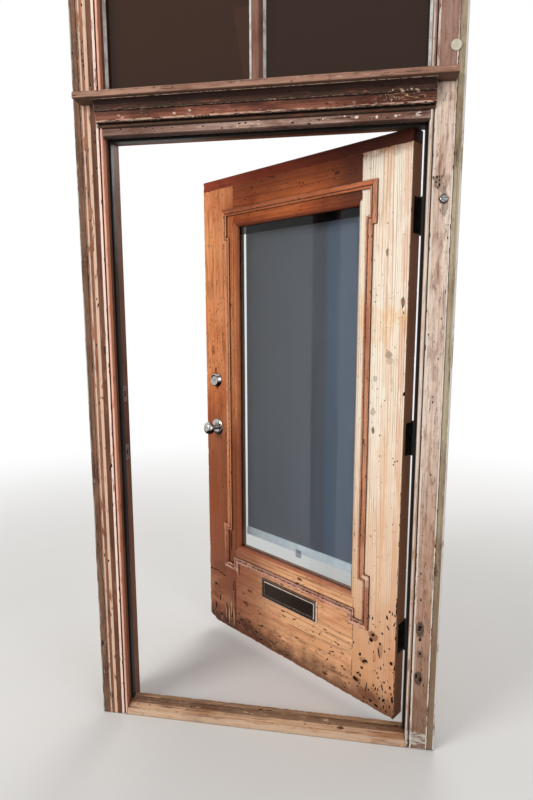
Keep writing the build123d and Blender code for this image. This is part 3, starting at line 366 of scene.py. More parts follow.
paint("lock_stile", wood(
    "lock_stile_wood", True, "Z", rgb(92, 36, 18), rgb(200, 110, 62), rgb(238, 158, 104), rgb(248, 176, 120),
    pitch=0.02, sway=60.0, lines=0.22, blotch=0.85, pits=1.0, checks=1.0, streaky=0.66, finish=chain(
        fade("z", 1.22, 0.85, rgb(126, 60, 33), 0.85, 0.16, 6.0),
        fade("z", 0.62, 0.30, rgb(138, 84, 60), 0.75, 0.12, 12.0),
        band("z", 0.04, 0.294, 0.012, rgb(176, 122, 92), 0.55, 0.75, 9.0),
        fade("z", 0.15, 0.05, rgb(48, 28, 22), 0.75, 0.07, 26.0),
        spots(mm((-345, 110, 3, 50, 0.9), (-362, 130, 2.2, 50, 0.8), (-378, 100, 3, 40, 0.8),
            (-400, 115, 2.4, 35, 0.7), (-430, 90, 2.4, 30, 0.6)), rgb(222, 184, 150), 0.0, 0.3),
        spots(mm((-357, 480, 7, 55, 0.9), (-372, 415, 12, 20, 0.5), (-335, 200, 6, 120, 0.7)), rgb(62, 28, 18), 0.1,
            0.2),
        spots(mm((-465, 1354, 13, 22, 0.6), (-376, 1806, 12, 14, 0.5)), rgb(128, 62, 32), 0.3),
        spots(mm((-440, 330, 50, 30, 0.35), (-460, 200, 30, 50, 0.4), (-360, 1600, 20, 40, 0.3),
            (-480, 1620, 20, 50, 0.25)), rgb(92, 44, 26), 0.0),
        set_back(*FACE_SET_BACK, OVOLO, 0.6))))
paint("top_rail", wood(
    "top_rail_wood", True, "X", rgb(82, 30, 14), rgb(164, 74, 36), rgb(206, 112, 62), rgb(220, 138, 90), pitch=0.03,
    sway=30.0, lines=0.35, fibre=0.35, pits=0.75, checks=0.7, streaky=0.45, finish=chain(
        # Painted shadow of the transom: darker towards the top and towards the hinge side.
        fade("z", 1.93, 2.03, rgb(120, 54, 28), 0.6, 0.03, 12.0),
        fade("x", 0.05, 0.30, rgb(60, 26, 14), 0.85, 0.08, 8.0),
        set_back(*FACE_SET_BACK, rgb(112, 56, 36)))))
paint("bottom_rail", wood(
    "bottom_rail_wood", True, "X", rgb(100, 44, 24), rgb(212, 140, 94), rgb(244, 188, 142), rgb(246, 196, 156),
    pitch=0.034, fibre=0.36, blotch=0.5, pits=1.0, checks=1.0, streaky=0.55, finish=chain(
        fade("x", 0.02, -0.33, rgb(146, 72, 48), 0.75, 0.1, 8.0),
        fade("z", 0.17, 0.05, rgb(92, 52, 36), 0.8, 0.10, 16.0),
        spots(mm((-260, 100, 50, 30, 0.5), (-150, 80, 80, 22, 0.55), (-20, 66, 70, 15, 0.5)), rgb(62, 34, 24), 0.0,
            0.5),
        set_back(*FACE_SET_BACK, OVOLO))))
paint("top_lipping", wood(
    "lipping_wood", True, "X", rgb(60, 20, 10), rgb(126, 46, 24), rgb(156, 66, 36), rgb(176, 92, 56), pitch=0.02,
    # Painted shadow of the transom: the lipping darkens towards the hinge side.
    fibre=0.35, blotch=0.5, pits=0.3, streaky=0.4, finish=fade("x", -0.10, 0.30, rgb(52, 22, 14), 0.85, 0.08, 8.0)))
paint("moulding_hinge_side", wood(
    "hinge_moulding_wood", True, "Z", rgb(88, 40, 26), rgb(172, 104, 74), rgb(214, 150, 116), rgb(244, 206, 174),
    pitch=0.009, lines=0.4, blotch=0.5, pits=0.5, wear=0.85, streaky=0.7, finish=chain(
        spots(mm((385, 552, 18, 8, 0.8), (390, 535, 12, 20, 0.4)), rgb(246, 214, 190), 0.0, 0.3),
        fade("z", 0.62, 0.40, rgb(140, 78, 58), 0.5, 0.06, 12.0),
        moulding_back)))
paint("moulding_lock_side", wood(
    "lock_moulding_wood", True, "Z", rgb(112, 50, 28), rgb(228, 140, 94), rgb(252, 178, 130), rgb(255, 200, 156),
    pitch=0.009, lines=0.35, fibre=0.4, blotch=0.5, pits=0.4, wear=0.8, finish=chain(
        fade("z", 1.15, 0.75, rgb(190, 108, 72), 0.6, 0.12, 8.0),
        fade("z", 0.62, 0.36, rgb(120, 62, 46), 0.7, 0.08, 10.0),
        moulding_back)))
paint("moulding_top", wood(
    "top_moulding_wood", True, "X", rgb(80, 32, 18), rgb(160, 80, 46), rgb(202, 118, 78), rgb(240, 170, 124),
    pitch=0.009, fibre=0.4, blotch=0.5, pits=0.4, wear=0.75, streaky=0.65, finish=chain(
        # Painted shade under the moulding's raised band.
        band("z", 1.862, 1.872, 0.002, rgb(74, 34, 22), 0.7, 0.1),
        moulding_back)))
paint("moulding_bottom", wood(
    "bottom_moulding_wood", True, "X", rgb(50, 22, 16), rgb(170, 100, 78), rgb(236, 174, 146), rgb(255, 222, 204),
    pitch=0.009, lines=0.4, fibre=0.6, pits=0.7, wear=1.0, streaky=0.7, finish=chain(
        # Pale worn marks on the lower ears; on the left ear's curled end they are partly a painted highlight.
        spots(mm((-388, 362, 12, 10, 0.8), (-365, 352, 20, 6, 0.7), (-312, 352, 10, 12, 0.7), (388, 362, 12, 12, 0.6),
            (330, 352, 30, 6, 0.5)), rgb(244, 196, 168), 0.0, 0.3),
        moulding_back)))
paint("glazing_beads", wood(
    "bead_wood", True, "Z", rgb(70, 36, 22), rgb(134, 82, 54), rgb(160, 104, 72), lines=0.35, fibre=0.3, blotch=0.5,
    pits=0.2))


# Frame finishes
PAINT = rgb(226, 216, 204)


def pale_nicks(seed, count, x_low, x_high, z_low, z_high):
    dice = random.Random(seed)
    return [(dice.uniform(x_low, x_high), dice.uniform(z_low, z_high), dice.uniform(0.0015, 0.005),
             dice.uniform(0.0012, 0.003), dice.uniform(0.6, 1.0)) for _ in range(count)]


def pale_line(x, half, strength=0.9, patchy=0.35, colour=PAINT):
    """Old pale paint left along an upright line; on the left casing's bead it is a painted highlight."""
    return band("x", x - half, x + half, 0.0012, colour, strength, patchy, 26.0)


paint("casing_right", wood(
    "casing_right_wood", False, "Z", rgb(104, 66, 48), rgb(206, 172, 150), rgb(240, 218, 202), PAINT, pitch=0.013,
    sway=36.0, lines=0.35, checks=0.7, rough=0.68, wear=0.85, streaky=0.7, flecks=0.35, finish=chain(
        fade("z", 1.30, 0.60, rgb(150, 104, 76), 0.6, 0.2, 7.0),
        band("x", 0.5345, 0.5855, 0.002, rgb(132, 88, 62), 0.42, 0.9, 22.0),
        band("x", 0.5345, 0.5855, 0.002, rgb(84, 56, 42), 0.6, 1.15, 55.0),
        fade("z", 0.55, 0.05, rgb(92, 62, 44), 0.55, 0.15, 9.0),
        spots(mm((549, 450, 14, 30, 0.8), (549, 270, 16, 26, 0.8), (546, 1893, 14, 22, 0.5), (564, 1844, 15, 18, 0.8),
            (566, 1815, 10, 22, 0.5), (560, 1872, 10, 12, 0.5), (552, 360, 12, 14, 0.5)), rgb(52, 42, 36), 0.2),
        fade("z", 2.17, 2.19, rgb(122, 72, 58), 0.7, 0.01),
        pale_line(0.5165, 0.0016, 0.8, 0.4),
        pale_line(0.5315, 0.0022, 0.85, 0.3),
        pale_line(0.5862, 0.0022, 0.85, 0.35),
        band("z", 0.0, 0.05, 0.03, rgb(204, 200, 192), 0.8, 0.55, 30.0))))
paint("casing_left", wood(
    "casing_left_wood", False, "Z", rgb(48, 22, 14), rgb(122, 72, 50), rgb(170, 116, 88), rgb(232, 202, 180),
    pitch=0.013, sway=36.0, lines=0.35, checks=0.7, rough=0.6, wear=0.95, streaky=0.75, flecks=0.3, finish=chain(
        band("x", -0.5295, -0.515, 0.001, rgb(226, 148, 118), 0.75, 0.05),
        band("x", -0.556, -0.536, 0.003, rgb(64, 34, 24), 0.6, 0.1, 18.0),
        fade("z", 0.9, 0.2, rgb(92, 50, 34), 0.45, 0.15, 7.0),
        # Painted highlight along the bead.
        pale_line(-0.5190, 0.0024, 0.8, 0.3, rgb(246, 200, 180)),
        pale_line(-0.5325, 0.0036, 0.92, 0.1, rgb(244, 224, 210)),
        pale_line(-0.5610, 0.0050, 0.85, 0.2, rgb(224, 192, 168)),
        pale_line(-0.5800, 0.0022, 0.8, 0.4, rgb(216, 196, 178)))))
paint("outer_strip_right", wood(
    "strip_right_wood", False, "Z", rgb(58, 42, 30), rgb(138, 116, 90), rgb(184, 168, 142), PAINT, checks=0.6,
    rough=0.7, wear=0.95, streaky=0.8, flecks=0.5, finish=chain(
        fade("z", 1.2, 0.3, rgb(124, 98, 76), 0.8, 0.2, 7.0),
        band("x", 0.6085, 0.615, 0.002, rgb(216, 212, 206), 0.9, 0.25, 16.0))))
paint("outer_strip_left", wood(
    "strip_left_wood", False, "Z", rgb(36, 20, 14), rgb(88, 58, 42), rgb(132, 98, 78), PAINT, checks=0.6, rough=0.7,
    wear=0.9, streaky=0.8, flecks=0.3, finish=band("x", -0.6145, -0.6095, 0.002, rgb(196, 206, 198), 0.6, 0.6, 30.0)))
paint("post_left post_right", wood(
    "post_wood", False, "Z", rgb(40, 20, 14), rgb(104, 64, 46), rgb(132, 88, 66), rgb(160, 120, 96), pitch=0.016,
    lines=0.25, fibre=0.4, blotch=0.5, pits=0.3))
paint("transom_rail overlight_head pane_stops", wood(
    "rail_wood", False, "X", rgb(40, 20, 14), rgb(92, 56, 40), rgb(122, 80, 58), rgb(160, 120, 96), pitch=0.016,
    lines=0.25, fibre=0.4, blotch=0.5, pits=0.3))
paint("head_casing overlight_head_casing", wood(
    "head_wood", False, "X", rgb(42, 22, 16), rgb(118, 80, 66), rgb(204, 172, 156), rgb(236, 220, 210), pitch=0.014,
    fibre=0.55, pits=0.8, checks=0.8, rough=0.68, wear=0.95, streaky=0.85, flecks=0.6, finish=chain(
        fade("x", 0.0, -0.5, rgb(84, 46, 34), 0.7, 0.15, 7.0),
        spots(mm((480, 2088, 8, 6, 0.6), (300, 2089, 6, 4, 0.9), (360, 2086, 4, 5, 0.9),
            (415, 2087, 4, 4, 0.9)) + pale_nicks(53, 6, -0.1, 0.49, 2.079, 2.096), rgb(226, 214, 204), 0.0, 0.8),
        band("z", 2.072, 2.0765, 0.001, SHADE_LINE, 0.8),
        band("z", 2.097, 2.102, 0.002, SHADE_LINE, 0.95))))
paint("bed_moulding", wood(
    "bed_wood", False, "X", rgb(28, 13, 8), rgb(88, 46, 34), rgb(150, 92, 72), rgb(232, 200, 178), pits=0.8,
    checks=0.9, rough=0.6, wear=0.95, streaky=0.85, flecks=0.3, finish=chain(
        band("z", 2.098, 2.1105, 0.001, rgb(66, 54, 40), 0.8, 0.15),
        band("z", 2.1105, 2.1135, 0.0008, SHADE_LINE, 0.95),
        band("z", 2.1145, 2.1185, 0.001, rgb(214, 178, 156), 0.75, 0.5, 60.0),
        band("z", 2.132, 2.1415, 0.002, rgb(46, 24, 18), 0.6, 0.2, 20.0),
        band("z", 2.1425, 2.146, 0.001, SHADE_LINE, 0.9),
        # Painted shade: the cove under the drip is darkened, deepest at the top.
        band("z", 2.1465, 2.154, 0.002, rgb(50, 40, 28), 0.85, 0.25),
        band("z", 2.154, 2.1605, 0.001, rgb(36, 22, 15), 0.8),
        band("z", 2.161, 2.18, 0.002, rgb(26, 14, 9), 0.94),
        spots(pale_nicks(51, 12, 0.38, 0.498, 2.113, 2.150) + pale_nicks(52, 7, -0.49, -0.20, 2.113, 2.145),
            rgb(206, 180, 158), 0.0, 0.9))))
paint("transom_sill", wood(
    "sill_wood", False, "X", rgb(46, 25, 18), rgb(118, 76, 58), rgb(176, 134, 114), rgb(230, 204, 188), pitch=0.014,
    checks=0.7, rough=0.65, wear=0.9, streaky=0.8, flecks=0.35,
    # Painted shade along the underside of the nosing.
    finish=band("z", 2.17, 2.1745, 0.001, rgb(62, 42, 32), 0.8)))
paint("threshold", wood(
    "threshold_wood", False, "X", rgb(70, 38, 24), rgb(170, 122, 88), rgb(222, 182, 148), rgb(236, 204, 172),
    lines=0.45, checks=0.8, rough=0.6, streaky=0.75, finish=chain(
        band("y", 0.026, 0.046, 0.004, rgb(72, 42, 28), 0.7, 0.1),
        band("y", 0.052, 0.073, 0.003, rgb(116, 92, 70), 0.5, 0.2),
        band("y", -0.001, 0.002, 0.001, rgb(214, 190, 166), 0.5, 0.3, 30.0))))
paint("side_stops stop_head", wood(
    "black_paint", False, "Z", rgb(8, 8, 8), rgb(22, 21, 21), rgb(32, 30, 29), rgb(90, 70, 58), lines=0.1,
    fibre=0.15, blotch=0.5, pits=0.2, checks=0.2, rough=0.4, grime_and_shade=0.3, wear=0.5))
paint("muntin", wood(
    "muntin_wood", False, "Z", rgb(54, 28, 22), rgb(118, 78, 64), rgb(150, 110, 94), rgb(196, 164, 148), pitch=0.01,
    fibre=0.45, pits=0.5, wear=0.8))


# Worn boards: a copy of each board with chips, dents and splits cut into it
SHARP_TURN = 0.6  # radians between two faces
FAIRED_TURN = math.radians(32)
PART_LENGTH = 0.05  # an arris is looked at in parts about this long
DENT_DEPTH = 0.003
NAIL_DEPTH = 0.004
LARGE_HOLE = 0.004  # holes wider than this are cut with a finer ball


def old_hole():
    g = Graph("old_hole")
    dust = g.noise(g.place(False), 220.0, 4.0, 0.7)
    return g.finish(g.mix(g.step(dust, 0.45, 0.7), rgb(40, 20, 10), rgb(96, 56, 34)), 0.95,
                    g.bump(dust, 0.0008, 0.8), Specular_IOR_Level=0.05)


HOLE = old_hole()


def rough_ball(made, place, size, dice, mark, fine=1):
    """A lumpy ball; cut out of a board it leaves one chip or hole."""
    ball = bmesh.ops.create_icosphere(made, subdivisions=fine, radius=1.0)["verts"]
    for vertex in ball:
        vertex.co *= dice.uniform(0.72, 1.16)
    bmesh.ops.transform(made, matrix=place @ Matrix.Diagonal((*size, 1.0)), verts=ball)
    for face in {face for vertex in ball for face in vertex.link_faces}:
        face.material_index = mark


def worn(node, body, finish_slot, seed, chips=(), holes=(), smooth=False):
    """chips: (per metre, where, depths, lengths) along the sharp arrises for which where(point) is true,
    depths and lengths in millimetres. holes: (x, z, half width, half height, depth, lean) on the street face."""
    source = nodes[node]
    dice = random.Random(seed)
    front = LEAF_FRONT if body == "leaf" else CASING_FRONT
    back = SWUNG.inverted() if body == "leaf" else Matrix.Identity(4)
    board = bmesh.new()
    board.from_mesh(source.data)
    bmesh.ops.remove_doubles(board, verts=board.verts, dist=1e-6)
    board.transform(back)
    board.normal_update()
    arrises = [
        (edge.verts[0].co.copy(), edge.verts[1].co.copy()) for edge in board.edges
        if edge.is_convex and len(edge.link_faces) == 2 and edge.calc_face_angle() > SHARP_TURN
    ]
    cutter = bmesh.new()
    for per_metre, where, depths, lengths in chips:
        chosen = []
        for start, end in arrises:
            parts = max(1, round((end - start).length / PART_LENGTH))
            for part in range(parts):
                low, high = start.lerp(end, part / parts), start.lerp(end, (part + 1) / parts)
                if where((low + high) / 2):
                    chosen.append((low, high))
        if not chosen:
            continue
        weights = [(high - low).length for low, high in chosen]
        for low, high in dice.choices(chosen, weights, k=round(sum(weights) * per_metre)):
            turn = (high - low).normalized().to_track_quat("Z", "Y").to_matrix().to_4x4()
            lean = Matrix.Rotation(dice.uniform(-0.12, 0.12), 4, "X") @ Matrix.Rotation(dice.uniform(0, 6.28), 4, "Z")
            size = [dice.uniform(*metres(reach)) for reach in (depths, depths, lengths)]
            centre = Matrix.Translation(low.lerp(high, dice.random()))
            rough_ball(cutter, centre @ turn @ lean, size, dice, 1 if dice.random() < 0.3 else 0)
    for x, z, wide, high, deep, lean in holes:
        centre = Matrix.Translation((x, front - 0.1 * deep, z)) @ Matrix.Rotation(lean, 4, "Y")
        rough_ball(cutter, centre, (wide, deep, high), dice, 1, 2 if max(wide, high) > LARGE_HOLE else 1)
    board.transform(back.inverted())
    cutter.transform(back.inverted())
    material = source.data.materials[0]
    piece = add(node + "_worn", mesh_from(node + "_worn", board, material))
    attributes = piece.data.attributes
    for name in ("custom_normal", "sharp_edge", "sharp_face"):
        if name in attributes:
            attributes.remove(attributes[name])
    tool = add("cutter", mesh_from("cutter", cutter, material, HOLE))
    wear = piece.modifiers.new("wear", "BOOLEAN")
    wear.operation = "DIFFERENCE"
    wear.solver = "EXACT"
    wear.use_self = True
    wear.material_mode = "TRANSFER"
    wear.object = tool
    bpy.context.view_layer.update()
    result = bpy.data.meshes.new_from_object(piece.evaluated_get(bpy.context.evaluated_depsgraph_get()))
    piece.modifiers.clear()
    piece.data = result
    bpy.data.objects.remove(tool)
    if smooth:
        result.shade_smooth()
        result.set_sharp_from_angle(angle=FAIRED_TURN)
    else:
        result.shade_flat()
    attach(piece, body)
    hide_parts(node)


def scattered(seed, count, *ranges):
    """Small dents and nail holes strewn over part of a face: x, z, half width and half height, in millimetres."""
    dice = random.Random(seed)
    return [(*(dice.uniform(*metres(reach)) for reach in ranges), DENT_DEPTH, dice.uniform(-0.2, 0.2))
            for _ in range(count)]


def dots(size, *places):
    """Round holes of one size, at x and z in millimetres."""
    return [(x / 1000, z / 1000, size, size * 1.15, NAIL_DEPTH, 0.0) for x, z in places]


def on_face(low=-9.0, high=9.0):
    """The leaf's street arrises between two heights."""
    return lambda p: p.y < LEAF_FRONT + 0.0012 and low < p.z < high


def foot_of_hinge_edge(p):
    return on_face(0.03, 0.62)(p) and p.x > 0.5


def room_side(p):
    return p.y > LEAF_BACK - 0.0012


def moulding_face(p):
    return p.y < 0.0600


def moulding_foot(p):
    return p.z < 0.60 and moulding_face(p)


def street(p):
    return p.y < 0.012


def street_foot(p):
    return street(p) and p.z < 0.8


def out_in_front(p):
    return p.y < 0.0


worn("hinge_stile", "leaf", "stile_wood", 11, chips=[
    (16, on_face(0.9), (1.2, 3), (3, 16)), (46, on_face(0.04, 0.9), (1.6, 4.2), (3, 16)),
    (34, foot_of_hinge_edge, (3, 5.8), (5, 20)), (8, room_side, (1, 2), (3, 12))],
    holes=dots(0.0026, (428, 1800), (387, 1547), (436, 1213), (423, 1016), (412, 740), (484, 782), (440, 1385))
    + dots(0.0017, (444, 1831), (488, 1758), (474, 1575), (437, 1461), (477, 1219), (434, 923), (474, 667))
    + mm((494, 1530, 2.2, 6, 4, 0.2), (498, 1509, 2, 5, 4, -0.2), (511, 1243, 5, 9, 6, 0.3),
        (421, 1089, 3.4, 4, 5, 0), (483, 1006, 3.4, 4, 5, 0), (493, 1010, 3, 4, 5, 0.2), (476, 1016, 2.6, 3, 5, 0),
        (479, 995, 2.8, 4, 5, 0.3), (484, 455, 4, 6, 4, 0.5), (507, 449, 4, 5, 4, 0), (481, 391, 3.2, 10, 4, -0.7),
        (457, 360, 5, 5, 4, 0.2), (418, 338, 7, 8, 4, 0.4), (410, 316, 10, 8, 3, 0.2), (449, 317, 5.5, 7, 5, 0.1),
        (444, 280, 3.2, 24, 5, -0.22), (363, 237, 6, 8, 5, 0.3), (389, 220, 10, 7, 5, 0.1), (379, 214, 7, 7, 5, 0.1),
        (372, 186, 6, 7, 5, 0), (497, 260, 7, 8, 5, 0.2), (346, 128, 13, 9, 5, 0.2), (394, 112, 3, 24, 5, 0.1),
        (445, 178, 3.4, 6, 4, 0.3), (463, 147, 4, 14, 4, -0.3), (413, 70, 11, 7, 5, 0.2), (440, 62, 12, 6, 5, 0.1),
        (506, 120, 5, 14, 5, 0), (333, 272, 4, 6, 4, 0), (470, 100, 6, 9, 4, 0.4))
    + scattered(3, 44, (395, 510), (50, 460), (1.5, 3.6), (2, 8))
    + scattered(18, 26, (330, 508), (50, 200), (2, 5.5), (2, 8))
    + scattered(4, 16, (332, 505), (500, 1700), (1, 1.6), (1.2, 3)))
worn("lock_stile", "leaf", "leaf_wood", 12, chips=[
    (14, on_face(0.5), (1.2, 2.8), (3, 16)), (40, on_face(0.04, 0.5), (1.6, 4), (3, 18)),
    (8, room_side, (1, 2), (3, 12))],
    holes=mm((-376, 1806, 5, 7, 6, 0), (-410, 294, 14, 3.6, 5, 0.16), (-432, 299, 16, 3.2, 5, 0.1),
        (-458, 303, 16, 3, 5, -0.1), (-480, 300, 14, 3.4, 5, 0.1), (-502, 302, 14, 4, 6, -0.1),
        (-470, 232, 8, 7, 4, 0.2), (-440, 170, 4, 20, 4, 0.1), (-395, 140, 4, 24, 4, -0.1),
        (-358, 110, 5, 20, 4, 0.1), (-345, 260, 3, 30, 4, 0), (-470, 120, 6, 18, 4, 0.1), (-430, 90, 10, 10, 4, 0.3),
        (-390, 70, 12, 7, 4, 0.1))
    + scattered(5, 18, (-505, -400), (1300, 1600), (1.4, 2.6), (2, 5))
    + scattered(6, 34, (-505, -335), (100, 2000), (1.2, 2.6), (1.5, 5)))
worn("bottom_rail", "leaf", "leaf_wood", 13, chips=[
    (46, on_face(0.0, 0.06), (2, 5), (4, 22)), (8, room_side, (1, 2), (3, 12))],
    holes=scattered(7, 44, (-310, 310), (55, 270), (4, 13), (1.4, 3.2))
    + scattered(8, 20, (120, 320), (55, 240), (3, 8), (2, 4.5))
    + scattered(9, 22, (-320, -50), (50, 160), (6, 18), (1.6, 3.4)))
worn("top_rail", "leaf", "leaf_wood", 14, chips=[(12, on_face(), (1, 2.2), (3, 12))],
    holes=scattered(10, 16, (-310, 310), (1960, 2030), (2, 8), (1.2, 2.4))
    + mm((-210, 2013, 5, 4, 4, 0), (60, 1985, 4, 3.5, 4, 0)))
worn("top_lipping", "leaf", "lipping_wood", 15, chips=[(26, on_face(), (1, 2.8), (4, 20))])

for node, seed, density, depth in (("moulding_bottom", 21, 60, 3.4), ("moulding_hinge_side", 22, 26, 2.4),
                                   ("moulding_lock_side", 23, 30, 2.6), ("moulding_top", 24, 24, 2.2)):
    worn(node, "leaf", "moulding_wood", seed, smooth=True, chips=[
        (density, moulding_face, (0.9, depth), (2, 10)), (density, moulding_foot, (1, depth), (2, 9))])

worn("casing_right", "frame", "frame_wood", 31, smooth=True, chips=[
    (20, street, (1, 2.6), (4, 20)), (26, street_foot, (1.2, 3), (4, 16))],
    holes=mm((542, 1908, 3.6, 5, 4, 0), (548, 1899, 3, 4, 4, 0.3), (540, 1893, 3, 4, 4, 0),
        (550, 1886, 3.4, 5, 4, 0.2), (545, 1878, 3, 4, 4, 0), (555, 1910, 3, 3, 4, 0), (549, 456, 7, 13, 5, 0.1),
        (551, 413, 5, 7, 5, 0), (545, 650, 2.4, 6, 4, 0), (548, 558, 3, 6, 4, 0.1), (553, 361, 5, 6, 5, 0.2),
        (543, 278, 5, 12, 5, 0.1), (557, 265, 6, 10, 5, -0.1))
    + scattered(32, 26, (532, 583), (50, 2000), (1.2, 2.6), (2, 7)))
worn("casing_left", "frame", "frame_wood", 33, smooth=True, chips=[(24, street, (1, 3), (4, 22))],
    holes=scattered(34, 30, (-584, -535), (30, 2600), (1.2, 3), (3, 10)))
worn("outer_strip_right", "frame", "frame_wood", 35, smooth=True, chips=[(30, street, (1.2, 3.4), (4, 30))])
worn("outer_strip_left", "frame", "frame_wood", 36, smooth=True, chips=[(30, street, (1.2, 3.4), (4, 30))])
worn("threshold", "frame", "threshold_wood", 37, chips=[(30, lambda p: p.z > 0.012, (1.2, 3.5), (4, 22))])
worn("transom_sill", "frame", "sill_wood", 38, smooth=True, chips=[(30, out_in_front, (1.2, 3), (4, 20))])
worn("bed_moulding", "frame", "frame_wood", 39, smooth=True, chips=[
    (34, street, (1, 2.6), (3, 18)), (46, lambda p: p.y < 0.0 and p.x > 0.38, (1.4, 3.4), (3, 16))])
worn("head_casing", "frame", "frame_wood", 40, smooth=True, chips=[(22, street, (1, 3), (4, 18))],
    holes=scattered(41, 22, (-490, 490), (2075, 2097), (2, 8), (1.4, 3)))
worn("muntin", "frame", "frame_wood", 42, smooth=True, chips=[(16, lambda p: p.y < 0.05, (0.8, 2), (3, 12))])


# Splinters and flakes left on the worn places
def loose_wood(name, tone, other):
    g = Graph(name)
    grain = g.noise(g.place(False), 260.0, 4.0, 0.7)
    return g.finish(g.mix(g.step(grain, 0.4, 0.62), tone, other), 0.75, g.bump(grain, 0.0006, 0.6))


def flat_flake(made, place, length, width, thick, dice):
    """A flake with five to seven corners."""
    count = dice.randint(5, 7)
    rim = []
    for i in range(count):
        angle = 2 * math.pi * i / count
        reach = 0.5 * dice.uniform(0.6, 1.1)
        rim.append((width * reach * math.cos(angle), length * reach * math.sin(angle)))
    low = [made.verts.new(place @ Vector((a, 0.0, b))) for a, b in rim]
    top = [made.verts.new(place @ Vector((0.88 * a, -thick * dice.uniform(0.7, 1.2), 0.88 * b))) for a, b in rim]
    made.faces.new(top)
    made.faces.new(low[::-1])
    for i in range(count):
        made.faces.new((low[i], low[(i + 1) % count], top[(i + 1) % count], top[i]))


def sliver(made, place, length, width, thick, dice):
    """A four-sided splinter, pointed at both ends."""
    rings = []
    for part, swell in ((-0.5, 0.25), (-0.2, 1.0), (0.15, 0.85), (0.5, 0.08)):
        bend = dice.uniform(-0.4, 0.4) * thick
        rings.append([made.verts.new(place @ Vector((
            bend + 0.5 * width * swell * math.cos(a), 0.5 * thick * swell * math.sin(a), length * part)))
            for a in (0.3, 1.9, 3.3, 4.8)])
    for lower, upper in zip(rings, rings[1:]):
        for i in range(4):
            made.faces.new((lower[i], lower[(i + 1) % 4], upper[(i + 1) % 4], upper[i]))
    made.faces.new(rings[0][::-1])
    made.faces.new(rings[-1])


def bits(name, body, material, shapes, shape=sliver):
    """Loose slivers or flakes in one piece: (centre, direction, length, width, thickness) each."""
    dice = random.Random(len(name) * 7 + len(shapes))
    made = bmesh.new()
    for centre, direction, length, width, thick in shapes:
        turn = Vector(direction).to_track_quat("Z", "Y").to_matrix().to_4x4()
        shape(made, Matrix.Translation(centre) @ turn, length, width, thick, dice)
    bmesh.ops.recalc_face_normals(made, faces=made.faces)
    if body == "leaf":
        made.transform(SWUNG)
    piece = add(name, mesh_from(name, made, material))
    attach(piece, body)


def strewn(seed, count, low, high, direction, lean, length, width, thick):
    """Shapes for bits(), strewn between two corners of a box, in millimetres."""
    dice = random.Random(seed)
    found = []
    for _ in range(count):
        centre = Vector([dice.uniform(a, b) for a, b in zip(metres(low), metres(high))])
        heading = Vector(direction) + Vector((dice.uniform(-lean, lean), 0.0, dice.uniform(-lean, lean)))
        found.append((centre, heading, *(dice.uniform(*metres(reach)) for reach in (length, width, thick))))
    return found


fresh = loose_wood("splinter_wood", rgb(214, 176, 142), rgb(150, 96, 66))
flake = loose_wood("paint_flake", rgb(226, 220, 210), rgb(186, 176, 162))
bits("stile_splinters", "leaf", fresh, strewn(
    61, 18, (-490, 61.8, 75), (-340, 62.6, 140), (0, 0, 1), 0.12, (12, 32), (1.2, 2.6), (1, 1.8)))
# The lip's pale pink tone is partly a painted highlight on its curled edge.
bits("ear_lip", "leaf", loose_wood("ear_lip_wood", rgb(240, 176, 142), rgb(176, 100, 72)), [
    ((-0.378, 0.0560, 0.366), (0.9, 0.0, 0.42), 0.040, 0.0070, 0.011),
    ((-0.352, 0.0555, 0.372), (1.0, 0.0, -0.05), 0.044, 0.0080, 0.012),
    ((-0.328, 0.0560, 0.364), (0.85, 0.0, -0.5), 0.040, 0.0080, 0.012),
    ((-0.312, 0.0570, 0.343), (0.35, 0.0, -0.95), 0.044, 0.0075, 0.011),
    ((-0.393, 0.0560, 0.548), (0.25, 0.0, 0.97), 0.030, 0.0070, 0.010),
    ((-0.384, 0.0560, 0.556), (0.95, 0.0, 0.1), 0.026, 0.0060, 0.009)])
bits("rail_splinters", "leaf", fresh, strewn(
    62, 20, (-300, 61.8, 56), (320, 62.6, 85), (1, 0, 0), 0.12, (12, 36), (1, 2.4), (1, 1.6)))
bits("transom_splinters", "frame", fresh, strewn(
    63, 16, (390, -20.4, 2120), (492, -19.6, 2142), (1, 0, 0), 0.25, (10, 28), (1.2, 2.8), (1, 2)))
bits("transom_flakes", "frame", flake, strewn(
    64, 14, (340, -20.2, 2118), (494, -20, 2143), (0, 0, 1), 0.4, (3, 7), (3, 9), (0.4, 0.9)), flat_flake)
bits("casing_flakes", "frame", flake, strewn(
    65, 26, (534, 0, 4), (584, 0, 55), (0, 0, 1), 0.5, (4, 12), (3, 8), (0.3, 0.8)) + strewn(
    66, 16, (534.5, 0, 60), (584, 0, 1900), (0, 0, 1), 0.2, (4, 12), (2, 5), (0.3, 0.7)), flat_flake)


